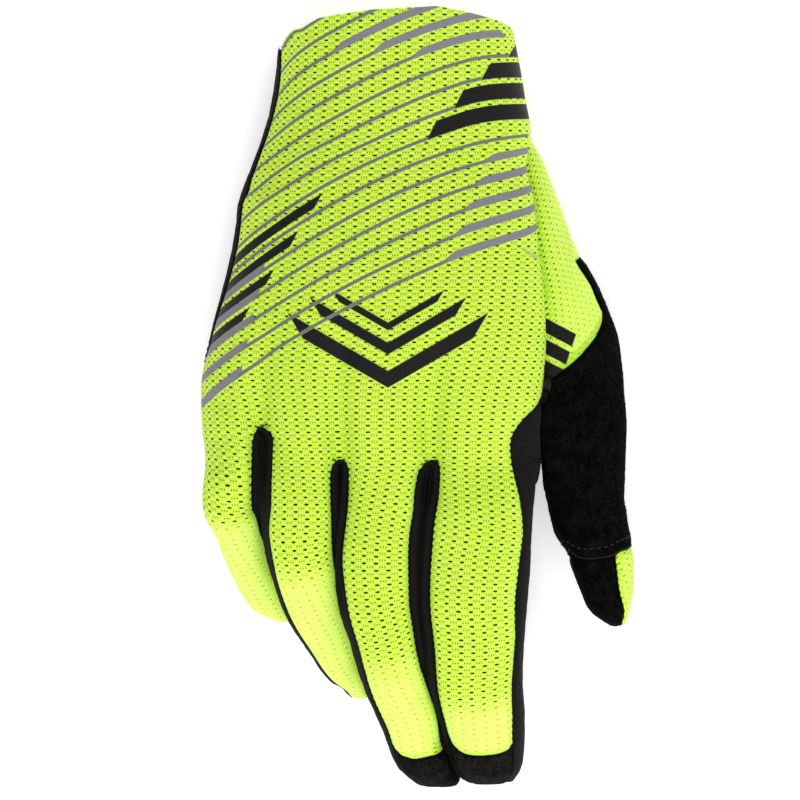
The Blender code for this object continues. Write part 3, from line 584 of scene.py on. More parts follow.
def finger_labels(number, shares):
    """The name of the piece that each face of a finger's patch belongs to."""
    name = FINGERS[number][0]
    names = []
    for share in shares[:-1]:
        capped = share > CAP_SHARE - 1e-6
        hemmed = share > HEM_SHARE - 1e-6
        if name == "thumb":
            skin = "thumb_tip" if hemmed else "thumb_overlay"
            outer = "thumb_back" if hemmed else "thumb_overlay"
            under = "thumb_tip" if hemmed else "palm_panel"
            row = [skin] * (SIDE + LOBE) + [outer] * SIDE + [under] * LOBE
        else:
            left = "palm_panel" if number == 0 else FOURCHETTES[number - 1]
            top = "palm_panel" if capped and number > 1 else "back_panel"
            row = [left] * SIDE + [top] * LOBE
            if name == "index":
                row += [FOURCHETTES[3]] * GUSSET
            row += [FOURCHETTES[number]] * SIDE + ["palm_panel"] * LOBE
        names.append(row)
    return names


def denser(shares):
    """Shares with every step between them split."""
    out = []
    for low, high in zip(shares[:-1], shares[1:]):
        out += [low + (high - low) * j / DETAIL for j in range(DETAIL)]
    return out + [shares[-1]]


PANELS = ("back_panel", "thumb_side_panel", "thumb_back", "palm_panel", "thumb_overlay",
          "thumb_tip", "fourchette_pinky_ring", "fourchette_ring_middle",
          "fourchette_middle_index", "index_side_gusset")
MESH_PANELS = PANELS[:3]
FOURCHETTES = PANELS[6:]
# Millimetres, and the photograph's scale: metres a pixel and the pixel over the origin
MM = 0.001
PIXEL = 0.00028
PIXEL_X = 417.6
PIXEL_Y = 397.9

# Which panel lies under which other along their seam, how far in millimetres, and over how wide
LAYERS = (("thumb_side_panel", "back_panel", 0.7, 2.6),
          ("thumb_side_panel", "thumb_overlay", 0.4, 1.6),
          ("thumb_tip", "thumb_overlay", 0.30, 1.6),
          ("thumb_back", "thumb_overlay", 0.30, 1.6),
          ("index_side_gusset", "back_panel", 0.35, 1.2))
# How open the mesh is at the edges of a finger's back, down the hand's left side, at the fold and
# over it, against its middle, and over how many metres it changes beside the fold
SIDE_OPEN = 0.45
EDGE_OPEN = 0.6
FOLD_OPEN = 0.65
PAST_OPEN = 0.25
FOLD_FADE = 0.006
# Where the holes of each finger's mesh begin to close up, where they are shut, and where they open
# again, as shares of its reach
SHUT = ((0.35, 0.47, 2.0), (0.37, 0.49, 2.0), (0.52, 0.66, 0.82), (0.66, 0.77, 0.83),
        (0.55, 1.20, 2.0))
# How thick every panel is drawn, and how near to each other points are one, in metres
WALL = 0.0011
WELD = 2e-6
# Edges that bend by more than this are sharp, in degrees
SHARP = 55
# Places drawn up the plan, such as the web between index finger and thumb: the pixel, how far the
# pull reaches across and down in pixels, and its length in millimetres
PULLS = ((539.0, 477.0, 5.0, 13.0, 4.4), (290.0, 38.0, 10.0, 9.0, 1.3))
# How far the mesh's rows of holes are turned on a panel, in degrees
GRAIN = {"thumb_side_panel": 24, "thumb_back": 10}
# Folds on the back: the pixels at their ends, how high in millimetres, and how wide
FOLDS = (((236, 196), (276, 184), -0.8, 2.0), ((240, 204), (272, 198), 0.4, 2.2),
         ((292, 40), (262, 132), -0.7, 3.2), ((262, 424), (268, 372), -0.6, 2.4),
         ((338, 456), (344, 404), -0.5, 2.4), ((430, 456), (428, 404), -0.5, 2.4),
         ((206, 398), (226, 408), -0.6, 1.8), ((205, 468), (232, 462), -0.6, 2.0),
         ((206, 500), (240, 512), -0.35, 1.6), ((365, 672), (428, 668), -0.45, 1.0),
         ((392, 702), (436, 696), -0.35, 0.9), ((300, 590), (340, 580), -0.3, 1.6),
         ((536, 250), (524, 262), -0.5, 1.4), ((516, 436), (494, 452), -0.3, 2.0),
         ((560, 262), (600, 308), -0.5, 2.4), ((552, 330), (588, 318), -0.4, 2.2),
         ((575, 350), (566, 420), 0.7, 3.0), ((600, 360), (606, 470), -0.5, 3.4),
         ((585, 430), (596, 520), 0.5, 3.0), ((572, 520), (604, 536), -0.5, 2.2),
         ((590, 580), (616, 600), -0.4, 2.0))
# The number of the stripe at a place of the cloth: for each power of the way across the hand, a
# number and how it grows down the hand, both ways counted in steps of 50 mm
STRIPE_CURVE = ((10.623, 7.649), (4.183, 0.231), (-1.087, 0.21), (-0.441, 0.562), (0.889, 0.353))
# How far across the cloth the stripes begin to lie flatter and over how far, in metres
FLAT_FROM = 0.024
FLAT_OVER = 0.010


def plan_place(pixel):
    """The place in the plan, in metres, of a pixel of the photograph."""
    return np.array([(pixel[0] - PIXEL_X) * PIXEL, (PIXEL_Y - pixel[1]) * PIXEL])


def arc_across(points, middle):
    """Arc length across each row of a patch, from its middle column."""
    steps = np.linalg.norm(np.diff(points, axis=1), axis=-1)
    arc = np.concatenate([np.zeros((len(points), 1)), np.cumsum(steps, axis=1)], axis=1)
    return arc - arc[:, middle:middle + 1]


def finger_length(number, q):
    """True length down a finger's curved middle to each share of its reach."""
    finger = FINGERS[number]
    curves = finger_curves(finger)
    at = np.linspace(-0.2, 1.05, 126)
    middle = np.stack([curves["across"](at) * PALM_WIDTH, -at * finger[2],
                       curves["mid"](at) * KNUCKLE_HEIGHT], axis=-1)
    length = np.concatenate([[0], np.cumsum(np.linalg.norm(np.diff(middle, axis=0), axis=-1))])
    return np.interp(q, at, length - np.interp(0, at, length))


def weave_open(number, q, across):
    """How open the mesh is down a finger: its holes close up towards the tip and its sides, and
    open again just before a cap."""
    start, stop, again = SHUT[number]
    shut = ease((q - start) / (stop - start))
    if number == 2:
        shut = shut * (1 - 0.9 * ease((q - again) / 0.04) * ease((across - 0.1) / 0.4))
    if number == 3:
        shut = shut * (1 - 0.6 * ease((q - again) / 0.05))
    side = 1 - (1 - SIDE_OPEN) * np.clip(np.abs(across), 0, 1) ** 3
    return (1 - shut) * side


def glove_grid():
    """Every patch of the skin at full detail: points, cloth coordinates, openness and labels."""
    rows = denser(HAND_SHARES)
    hand, along = hand_patch(rows)
    u = arc_across(hand, SIDE + 2 * LOBE)
    off = arc_across(hand, SIDE + 4 * LOBE)
    opened = np.where(off > 0, PAST_OPEN + (1 - PAST_OPEN) * np.exp(-off / FOLD_FADE),
                      1 - (1 - FOLD_OPEN) * np.exp(off / FOLD_FADE))
    opened[:, :SIDE + 1] = EDGE_OPEN
    patches = [(hand, u, along * BACK_LENGTH, opened, hand_labels(rows, along))]
    rows = denser(FINGER_SHARES)
    for number, finger in enumerate(FINGERS):
        skin, q = finger_patch(number, rows)
        line = SIDE + LOBE // 2 + (number * LOBE if number < 4 else 4 * LOBE + GUSSET)
        across = arc_across(skin, SIDE + LOBE // 2) + u[-1, line]
        down = finger[3] * BACK_LENGTH + finger_length(number, q)
        place = (np.arange(skin.shape[1]) - SIDE - LOBE / 2) / (LOBE / 2)
        patches.append((skin, across, down, weave_open(number, q, place[None, :]),
                        finger_labels(number, rows)))
    return patches


def stripe_number(cloth):
    """Which diagonal stripe lies at each place of the back's cloth, counted from the cuff."""
    across, down = cloth[:, 0], cloth[:, 1]
    # beside the thumb the lines lie flatter, most of all near the cuff
    bent = FLAT_FROM + FLAT_OVER * np.tanh((across - FLAT_FROM) / FLAT_OVER)
    bent = bent + (across - bent) * 0.60 * ease((down - 0.028) / 0.014)
    u = np.clip(np.where(across > FLAT_FROM, bent, across), -0.056, 0.056) / 0.05
    v = (down - 0.055) / 0.05
    number = sum((flat + steep * v) * u ** power for power, (flat, steep) in enumerate(STRIPE_CURVE))
    # beside the cuff's edge the lines bend towards it
    middle = ease((across + 0.030) / 0.025)
    down = np.maximum(down, 0)
    bend = 0.34 * np.exp(-(down / 0.016) ** 1.5) * (0.35 + 0.65 * middle)
    return number - bend - 0.58 * np.exp(-down / 0.005) * (1 - middle)


class Skin:
    """The glove's whole skin, welded: points, faces, each face's panel and cloth coordinates."""

    def __init__(self):
        points, cloth, opens, faces, panels = [], [], [], [], []
        first = 0
        for grid, u, v, openness, labels in glove_grid():
            rows, columns = u.shape
            place = first + np.arange(rows * columns).reshape(rows, columns)
            first += rows * columns
            points.append(grid.reshape(-1, 3))
            cloth.append(np.stack([u, v], axis=-1).reshape(-1, 2))
            opens.append(openness.reshape(-1))
            quads = np.stack([place[:-1, :-1], place[1:, :-1], place[1:, 1:], place[:-1, 1:]], axis=-1)
            faces.append(quads.reshape(-1, 4))
            panels.append(np.array([[PANELS.index(n) for n in row] for row in labels]).reshape(-1))
        points = np.concatenate(points)
        points[:, 2] = np.maximum(points[:, 2], 0)
        self.corner_cloth = np.concatenate(cloth)
        self.corner_open = np.concatenate(opens)
        self.corners = np.concatenate(faces)
        self.panels = np.concatenate(panels)
        keys = np.round(points / WELD).astype(np.int64)
        found, kept, self.weld = np.unique(keys, axis=0, return_index=True, return_inverse=True)
        self.weld = self.weld.reshape(-1)
        self.points = points[kept]
        middle = (self.points.min(axis=0) + self.points.max(axis=0)) / 2
        self.points -= np.array([middle[0], middle[1], 0])
        self.faces = self.weld[self.corners]
        loop = self.faces
        same = (loop == np.roll(loop, -1, axis=1)).sum(axis=1)
        self.good = same < 2
        self.corners, self.faces = self.corners[self.good], self.faces[self.good]
        self.panels = self.panels[self.good]
        self.cloth = self.corner_cloth[kept]
        self.open = self.corner_open[kept]
        self.start = self.points.copy()
        self.stripe = stripe_number(self.cloth)

    def normals(self):
        p = self.points[self.faces]
        across = np.cross(p[:, 2] - p[:, 0], p[:, 3] - p[:, 1])
        total = np.zeros_like(self.points)
        for corner in range(4):
            np.add.at(total, self.faces[:, corner], across)
        size = np.linalg.norm(total, axis=1, keepdims=True)
        return total / np.maximum(size, 1e-15)

    def edges(self):
        """Every edge once, with the panels of the faces on its two sides."""
        a = self.faces.reshape(-1)
        b = np.roll(self.faces, -1, axis=1).reshape(-1)
        panel = np.repeat(self.panels, 4)
        keep = a != b
        a, b, panel = a[keep], b[keep], panel[keep]
        low, high = np.minimum(a, b), np.maximum(a, b)
        order = np.lexsort((panel, high, low))
        low, high, panel = low[order], high[order], panel[order]
        pair = (low[1:] == low[:-1]) & (high[1:] == high[:-1])
        return low, high, panel, pair

    def seams(self, wanted):
        """The seam edges between every two panels whose names are wanted."""
        low, high, panel, pair = self.edges()
        both = np.where(pair)[0]
        cut = both[panel[both] != panel[both + 1]]
        out = []
        for i in cut:
            names = (PANELS[panel[i]], PANELS[panel[i + 1]])
            if wanted(*names):
                out.append((low[i], high[i]))
        return np.array(out, int).reshape(-1, 2)

    def links(self):
        """Every edge once, as pairs of points."""
        low, high = self.edges()[:2]
        return np.unique(np.stack([low, high], axis=1), axis=0)

    def distance(self, edges):
        """Each point's distance to the nearest of some edges, each taken as four points."""
        tree = KDTree(len(edges) * 4)
        for i, (a, b) in enumerate(edges):
            for j in range(4):
                tree.insert(self.start[a] + (self.start[b] - self.start[a]) * j / 4, i)
        tree.balance()
        return np.array([tree.find(p)[2] for p in self.start])


def smoothed(values, edges, rounds):
    """Values averaged over neighbouring points so many times."""
    count = np.ones(len(values))
    np.add.at(count, edges[:, 0], 1)
    np.add.at(count, edges[:, 1], 1)
    count = count.reshape((-1,) + (1,) * (values.ndim - 1))
    for _ in range(rounds):
        total = values.copy()
        np.add.at(total, edges[:, 0], values[edges[:, 1]])
        np.add.at(total, edges[:, 1], values[edges[:, 0]])
        values = total / count
    return values


def unit(vectors):
    return vectors / np.maximum(np.linalg.norm(vectors, axis=1, keepdims=True), 1e-12)


# How far from a wall between two fingers the search for the other one begins and how far it goes,
# the room left between them, how far they swell at most before and after smoothing, and over how
# far from their rolled edges the swelling begins, all in metres
SLOT_SKIP = 0.0002
SLOT_SEARCH = 0.0045
SLOT_ROOM = 0.00004
SWELL = 0.0011
SWELL_MOST = 0.0013
SWELL_START = 0.0016
# The seams beside the mesh and the others: how deep each is pressed in and how wide, in metres
MESH_SEAM = (0.50 * MM, 0.9 * MM)
BLACK_SEAM = (0.30 * MM, 0.8 * MM)
# How rough the black panels are, in metres
ROUGH = 0.11 * MM
# Waves over the whole glove: radians per 10 mm across and down it, their height in millimetres and
# where they start, and how many radians they turn over each metre of the glove's depth
WAVES = ((0.9, 1.7, 0.10, 0.3), (-1.3, 1.1, 0.08, 1.1), (2.3, 0.4, 0.06, 2.0),
         (1.6, -2.6, 0.05, 0.7), (4.1, 3.2, 0.03, 1.9))
WAVE_RISE = 90


def fill_slots(skin, edges):
    """Swells the walls between neighbouring fingers until they touch, so that no slot lets
    light through."""
    normal = unit(smoothed(skin.normals(), edges, 3))
    walls = np.isin(skin.panels, [PANELS.index(n) for n in FOURCHETTES])
    mine = np.unique(skin.faces[walls])
    rolled = skin.distance(skin.seams(lambda a, b: (a in FOURCHETTES) != (b in FOURCHETTES)))
    tree = BVHTree.FromPolygons(skin.points.tolist(), skin.faces.tolist())
    push = np.zeros(len(skin.points))
    for i in mine:
        way = normal[i].copy()
        way[2] = 0
        if np.linalg.norm(way) < 0.5:
            continue
        way = Vector(way).normalized()
        found = tree.ray_cast(Vector(skin.points[i]) + way * SLOT_SKIP, way, SLOT_SEARCH)
        if found[0]:
            push[i] = min((found[3] + SLOT_SKIP) / 2 - SLOT_ROOM, SWELL)
    push *= ease(rolled / SWELL_START)
    push = np.minimum(smoothed(push, edges, 2) * 1.15, SWELL_MOST)
    skin.points = skin.points + normal * push[:, None]


def draw_up(skin):
    """Pulls a few places up the plan."""
    px = skin.points[:, 0] / PIXEL + PIXEL_X
    py = PIXEL_Y - skin.points[:, 1] / PIXEL
    for x, y, wide, tall, pull in PULLS:
        share = np.exp(-((px - x) / wide) ** 4) * np.exp(-((py - y) / tall) ** 2)
        skin.points[:, 1] += pull * MM * share


def shape_cloth(skin):
    """Presses the seams in, and lays the folds, puckers and soft hollows of worn cloth."""
    edges = skin.links()
    draw_up(skin)
    fill_slots(skin, edges)
    rolled = skin.seams(lambda a, b: (a in MESH_PANELS) != (b in MESH_PANELS))
    plain = skin.seams(lambda a, b: (a in MESH_PANELS) == (b in MESH_PANELS))
    normal = unit(smoothed(skin.normals(), edges, 4))
    skin.edge = skin.distance(rolled)
    skin.seam = skin.distance(plain)
    depth = [deep * np.exp(-(away / wide) ** 1.4)
             for away, (deep, wide) in ((skin.edge, MESH_SEAM), (skin.seam, BLACK_SEAM))]
    depth = smoothed(np.maximum(*depth), edges, 1)
    black = np.ones(len(skin.points))
    black[np.unique(skin.faces[skin.panels < len(MESH_PANELS)])] = 0
    rough = np.random.default_rng(5).normal(size=len(black)) * black
    depth = depth + ROUGH * smoothed(rough, edges, 1)
    skin.points = skin.points - normal * depth[:, None] + normal * folds(skin)[:, None]
    skin.points[:, 2] = np.maximum(skin.points[:, 2], 0)
    skin.under = {}
    for name, over, step, reach in LAYERS:
        near = skin.distance(skin.seams(lambda a, b: {a, b} == {name, over}))
        lower = step * MM * np.exp(-(near / (reach * MM)) ** 2)
        skin.under[name] = skin.under.get(name, 0) + lower


def folds(skin):
    """The soft folds of the cloth: each a shallow ridge or hollow along a line of the plan."""
    plan = skin.start[:, :2]
    upward = skin.normals()[:, 2] > 0.0
    height = np.zeros(len(plan))
    for start, end, deep, wide in FOLDS:
        a = plan_place(start)
        b = plan_place(end)
        t = np.clip(((plan - a) @ (b - a)) / ((b - a) @ (b - a)), 0, 1)
        off = np.linalg.norm(plan - a - t[:, None] * (b - a), axis=1)
        ends = np.sin(np.pi * (0.12 + 0.76 * t))
        height += deep * MM * np.exp(-(off / (wide * MM)) ** 2) * ends * upward
    for x, y, size, phase in WAVES:
        turn = plan @ np.array([x, y]) * 100 + phase + skin.start[:, 2] * WAVE_RISE
        height += size * MM * np.sin(turn)
    return height


def panel_mesh(skin, name, normals):
    """One panel cut from the skin, with its inner wall and cloth coordinates, as a new piece."""
    number = PANELS.index(name)
    mine = skin.panels == number
    faces = skin.faces[mine]
    corners = skin.corners[mine]
    used, place = np.unique(faces, return_inverse=True)
    place = place.reshape(faces.shape)
    outer = skin.points[used]
    if name in skin.under:
        outer = outer - normals[used] * skin.under[name][used][:, None]
    inner = outer - normals[used] * WALL
    count = len(used)
    loops = []
    cloth = []
    edge_runs = {}
    for row, corner in zip(place.tolist(), corners.tolist()):
        ring = []
        marks = []
        for v, c in zip(row, corner):
            if v not in ring:
                ring.append(v)
                marks.append(c)
        for a, b in zip(ring, ring[1:] + ring[:1]):
            key = (min(a, b), max(a, b))
            edge_runs[key] = None if key in edge_runs else (a, b)
        loops.append(ring)
        cloth.append(marks)
    solid = list(loops)
    marks = list(cloth)
    for ring, mark in zip(loops, cloth):
        solid.append([v + count for v in reversed(ring)])
        marks.append(list(reversed(mark)))
    corner_of = {}
    for ring, mark in zip(loops, cloth):
        for v, c in zip(ring, mark):
            corner_of[v] = c
    for run in edge_runs.values():
        if run:
            a, b = run
            solid.append([b, a, a + count, b + count])
            marks.append([corner_of[b], corner_of[a], corner_of[a], corner_of[b]])
    mesh = bpy.data.meshes.new(name)
    mesh.from_pydata(np.concatenate([outer, inner]).tolist(), [], solid)
    flat = [c for mark in marks for c in mark]
    turn = math.radians(GRAIN.get(name, 0))
    ways = np.array([[math.cos(turn), math.sin(turn)], [-math.sin(turn), math.cos(turn)]])
    layer = mesh.uv_layers.new(name="cloth")
    layer.data.foreach_set("uv", (skin.corner_cloth[flat] @ ways).astype(np.float32).reshape(-1))
    for mark, values in (("weave_open", skin.open), ("stripe", skin.stripe),
                         ("edge", skin.edge / MM), ("seam", skin.seam / MM)):
        layer = mesh.attributes.new(mark, "FLOAT", "POINT")
        layer.data.foreach_set("value", np.tile(values[used], 2).astype(np.float32))
    layer = mesh.attributes.new("outside", "FLOAT", "POINT")
    layer.data.foreach_set("value", np.repeat([1.0, 0.0], count).astype(np.float32))
    mesh.shade_smooth()
    mesh.set_sharp_from_angle(angle=math.radians(SHARP))
    piece = bpy.data.objects.new(name, mesh)
    bpy.context.scene.collection.objects.link(piece)
    return piece


class Maker:
    """Writes a material's nodes as sums: a, b and so on are sockets or numbers."""

    def __init__(self, name, cloth=True):
        self.material = bpy.data.materials.new(name)
        self.material.use_nodes = True
        self.tree = self.material.node_tree
        self.shader = self.tree.nodes["Principled BSDF"]
        self.place = self.node("ShaderNodeTexCoord").outputs["Object"]
        if cloth:
            self.cloth = self.node("ShaderNodeUVMap", uv_map="cloth").outputs[0]

    def node(self, kind, **settings):
        made = self.tree.nodes.new(kind)
        for key, value in settings.items():
            setattr(made, key, value)
        return made

    def feed(self, socket, value):
        if isinstance(value, bpy.types.NodeSocket):
            self.tree.links.new(value, socket)
        else:
            socket.default_value = value

    def sum(self, operation, *values):
        made = self.node("ShaderNodeMath", operation=operation)
        for socket, value in zip(made.inputs, values):
            self.feed(socket, value)
        return made.outputs[0]

    def add(self, a, b):
        return self.sum("ADD", a, b)

    def less(self, a, b):
        return self.sum("SUBTRACT", a, b)

    def times(self, a, b):
        return self.sum("MULTIPLY", a, b)

    def ramp(self, value, low, high, start=0.0, stop=1.0):
        """start below low, stop above high, and smooth between."""
        made = self.node("ShaderNodeMapRange", interpolation_type="SMOOTHSTEP")
        for socket, given in zip(made.inputs, (value, low, high, start, stop)):
            self.feed(socket, given)
        return made.outputs[0]

    def most(self, *values):
        """The greatest of its values."""
        found = values[0]
        for value in values[1:]:
            found = self.sum("MAXIMUM", found, value)
        return found

    def past(self, value, limit, soft=0.8):
        """1 where a value is past a limit and 0 before it."""
        return self.ramp(self.less(value, limit), -soft, soft)

    def before(self, value, limit, soft=0.8):
        return self.ramp(self.less(value, limit), -soft, soft, 1, 0)

    def band(self, value, low, high, soft=0.02):
        """1 where a value lies between two numbers."""
        return self.times(self.ramp(value, low - soft, low + soft),
                          self.ramp(value, high - soft, high + soft, 1, 0))

    def plan(self):
        """The pixel of the photograph over each place."""
        x, y = self.split(self.place)[:2]
        return self.add(self.times(x, 1 / PIXEL), PIXEL_X), self.less(PIXEL_Y, self.times(y, 1 / PIXEL))

    def split(self, vector):
        made = self.node("ShaderNodeSeparateXYZ")
        self.feed(made.inputs[0], vector)
        return made.outputs

    def noise(self, size, detail=3, rough=0.55, at=None, stretch=None):
        """A noise of so many metres, from 0 to 1."""
        at = at or self.place
        if stretch:
            scaled = self.node("ShaderNodeVectorMath", operation="MULTIPLY")
            self.feed(scaled.inputs[0], at)
            scaled.inputs[1].default_value = stretch
            at = scaled.outputs[0]
        made = self.node("ShaderNodeTexNoise")
        self.feed(made.inputs["Vector"], at)
        made.inputs["Scale"].default_value = 1 / size
        made.inputs["Detail"].default_value = detail
        made.inputs["Roughness"].default_value = rough
        return made.outputs["Fac"]

    def mark(self, name):
        return self.node("ShaderNodeAttribute", attribute_name=name).outputs["Fac"]

    def mix(self, share, a, b):
        made = self.node("ShaderNodeMix", data_type="RGBA")
        self.feed(made.inputs[0], share)
        for socket, value in ((made.inputs[6], a), (made.inputs[7], b)):
            self.feed(socket, value if isinstance(value, bpy.types.NodeSocket) else (*value, 1))
        return made.outputs[2]

    def bump(self, height, depth, under=None):
        """A relief of so many metres, over another relief."""
        made = self.node("ShaderNodeBump")
        self.feed(made.inputs["Height"], height)
        made.inputs["Strength"].default_value = 1.0
        made.inputs["Distance"].default_value = depth
        if under:
            self.feed(made.inputs["Normal"], under)
        return made.outputs["Normal"]

    def done(self, colour, roughness, normal=None, sheen=0.0, sheen_rough=0.5, specular=0.3):
        inputs = self.shader.inputs
        self.feed(inputs["Base Color"], colour)
        self.feed(inputs["Roughness"], roughness)
        if normal:
            self.feed(inputs["Normal"], normal)
        inputs["Sheen Weight"].default_value = sheen
        inputs["Sheen Roughness"].default_value = sheen_rough
        self.feed(inputs["Specular IOR Level"], specular)
        return self.material


# The mesh: metres between its columns of holes and between its rows, a hole's half sizes, and the
# step between its small dots and their radius
COLUMN = 0.00336
ROW = 0.00179
HOLE = (0.00060, 0.00022)
DOT_STEP = 0.00072
DOT = 0.00022
# The colours of the mesh: its dye in two tones, where its holes are shut (paler, partly the
# stretched knit and partly a painted highlight), the painted shade between its ribs and beside a
# seam, and of its dots and its holes, shut and open
DYE = ((0.62, 0.84, 0.070), (0.74, 0.92, 0.110))
SHUT_DYE_AND_HIGHLIGHT = (0.72, 0.75, 0.215)
RIB_SHADE = (0.40, 0.56, 0.012)
SEAM_SHADE = (0.34, 0.53, 0.003)
# Painted shade on the mesh's lower border beside the thumb, where it turns down
TURNED_SHADE = (0.26, 0.45, 0.002)
THUMB_DYE = (0.36, 0.50, 0.010)
DOT_DARK = (0.10, 0.17, 0.001)
HOLE_DARK = ((0.46, 0.66, 0.020), (0.006, 0.018, 0.0))
NICK_DARK = (0.010, 0.016, 0.002)
# The inks of the thin and the thick stripes and of the bars, and the dark olive tint along the stripes'
# edges
THIN_INK = (0.170, 0.178, 0.165)
THICK_INK = (0.225, 0.220, 0.242)
BLACK_INK = (0.0085, 0.0085, 0.0082)
STRIPE_EDGE_TINT = (0.30, 0.36, 0.10)
# A painted glow on the dye, lit by no lamp, which lifts its shaded sides: its colour where the
# holes are open and where they are shut, and how strong it is
PAINTED_GLOW = ((0.30, 0.72, 0.0), (0.64, 1.50, 0.02))
PAINTED_GLOW_STRENGTH = 0.24
BLACK = (0.0, 0.0, 0.0)


def cell(m, position, pitch, shift=0.0):
    """Distance in metres from the middle of the nearest cell along one way."""
    at = m.add(m.sum("DIVIDE", position, pitch), shift + 0.5)
    return m.times(m.less(m.sum("FRACT", at), 0.5), pitch)


def mesh_weave(m):
    """The mesh's dark holes, its row of three small dots between them, and its relief."""
    u, v = m.split(m.cloth)[:2]
    wander = m.less(m.noise(0.012, 2), 0.5)
    u = m.add(u, m.times(wander, 0.0010))
    v = m.add(v, m.times(wander, 0.0007))
    grain = m.noise(0.0016, 1)
    hole_u, hole_v = cell(m, u, COLUMN), cell(m, v, ROW)
    far = m.sum("POWER", m.add(m.sum("POWER", m.sum("ABSOLUTE", m.times(hole_u, 1 / HOLE[0])), 2.6),
                               m.sum("POWER", m.sum("ABSOLUTE", m.times(hole_v, 1 / HOLE[1])), 2.6)),
                1 / 2.6)
    opened = m.mark("weave_open")
    size = m.times(m.add(0.62, m.times(opened, 0.38)), m.add(0.80, m.times(grain, 0.5)))
    hole = m.ramp(m.less(far, size), -0.20, 0.20, 1, 0)
    dot_u = cell(m, u, COLUMN, 0.5)
    inside = m.ramp(m.sum("ABSOLUTE", dot_u), 0.00100, 0.00114, 1, 0)
    dot_u = cell(m, dot_u, DOT_STEP)
    dot_v = cell(m, v, ROW / 2)
    here = m.ramp(m.sum("ABSOLUTE", cell(m, v, ROW, 0.5)), ROW * 0.2, ROW * 0.3, 1.0, 0.30)
    away = m.sum("SQRT", m.add(m.times(dot_u, dot_u), m.times(dot_v, dot_v)))
    dot = m.times(m.times(m.ramp(away, DOT * 0.5, DOT * 1.5, 1, 0), inside), here)
    dot = m.times(dot, m.add(0.25, m.times(opened, 0.75)))
    rib = m.sum("COSINE", m.times(m.add(v, m.times(grain, 0.00010)), 4 * math.pi / ROW))
    stitch = m.sum("COSINE", m.times(u, 2 * math.pi / 0.00056))
    relief = m.add(m.times(rib, 0.42), m.times(stitch, 0.03))
    relief = m.add(relief, m.times(grain, 0.12))
    relief = m.less(relief, m.add(m.times(hole, 1.4), m.times(dot, 0.6)))
    return hole, dot, rib, relief


def neon_mesh(name, print_marks):
    """Neon knit mesh, with the prints of the back of the hand or of the thumb's side."""
    m = Maker(name)
    hole, dot, rib, relief = mesh_weave(m)
    opened = m.mark("weave_open")
    near = m.mark("edge")
    colour = m.mix(m.noise(0.025, 2), *DYE)
    pale = m.less(1.0, opened)
    # where the holes are shut the knit is paler, partly as stretched knit and partly as a painted
    # highlight
    colour = m.mix(m.times(pale, 0.80), colour, SHUT_DYE_AND_HIGHLIGHT)
    # painted shade in the grooves between the ribs, weaker where the holes are shut
    line = m.times(m.ramp(rib, -1.0, -0.1, 0.70, 0), m.less(1.0, m.times(pale, 0.80)))
    colour = m.mix(line, colour, RIB_SHADE)
    # painted shade on the mesh within 2.6 mm of its seams
    colour = m.mix(m.ramp(near, 0.0, 2.6, 0.55, 0), colour, SEAM_SHADE)
    wave = m.sum("COSINE", m.times(m.split(m.cloth)[1], 2 * math.pi / ROW))
    nick = m.before(near, m.add(0.16, m.times(wave, 0.14)), 0.12)
    colour = m.mix(m.times(dot, 0.95), colour, DOT_DARK)
    colour = m.mix(hole, colour, m.mix(m.ramp(opened, 0.1, 0.75), *HOLE_DARK))
    colour = m.mix(m.times(nick, 0.9), colour, NICK_DARK)
    roughness = 0.75
    holes = m.most(hole, dot)
    gloss = m.less(0.25, m.times(holes, 0.25))
    outside = m.ramp(m.mark("outside"), 0.4, 0.9)
    grey = edge = thick = film = 0.0
    if print_marks == "back":
        grey, black, edge, thick = prints(m)
    elif print_marks == "thumb":
        black, turned = thumb_bars(m)
        # painted shade on the lower border, where the mesh turns down
        colour = m.mix(m.times(turned, 0.60), colour, TURNED_SHADE)
        relief = m.less(relief, m.times(turned, 2.0))
    else:
        colour = m.mix(0.14, colour, THUMB_DYE)
    if print_marks:
        grey = m.times(grey, outside)
        black = m.times(black, m.most(outside, m.ramp(m.plan()[1], 362, 366)))
        film = m.most(grey, black)
        ink = m.mix(black, m.mix(thick, THIN_INK, THICK_INK), BLACK_INK)
        colour = m.mix(film, colour, ink)
        colour = m.mix(m.times(m.times(edge, outside), 0.35), colour, STRIPE_EDGE_TINT)
        relief = m.add(m.times(relief, m.less(1.0, m.times(film, 0.82))), m.times(film, 0.5))
        roughness = m.less(0.75, m.times(film, 0.15))
        gloss = m.add(m.times(gloss, m.less(1.0, film)), m.times(film, 0.10))
    # painted light: the dye glows a little, lit by no lamp, which keeps its shaded sides bright green
    dull = m.most(film, m.times(m.most(holes, nick), 0.95))
    painted_glow = m.mix(dull, m.mix(pale, *PAINTED_GLOW), BLACK)
    m.feed(m.shader.inputs["Emission Color"], painted_glow)
    m.shader.inputs["Emission Strength"].default_value = PAINTED_GLOW_STRENGTH
    return m.done(m.mix(0.13, colour, BLACK), roughness, m.bump(relief, 0.00022), sheen=0.06,
                  specular=gloss)


# The chevrons: the pixels where each begins and ends down the middle, and how far out it reaches
CHEVRONS = ((371, 388, 100), (343, 355, 78), (323, 331, 56))
CHEVRON_MIDDLE = 388.0
CHEVRON_SLOPE = 0.58
# The slanted bars beside the thumb: the pixels where each begins and ends at the fold
THUMB_BARS = ((318, 333), (339, 354), (360, 430))
THUMB_BAR_SLOPE = 0.53


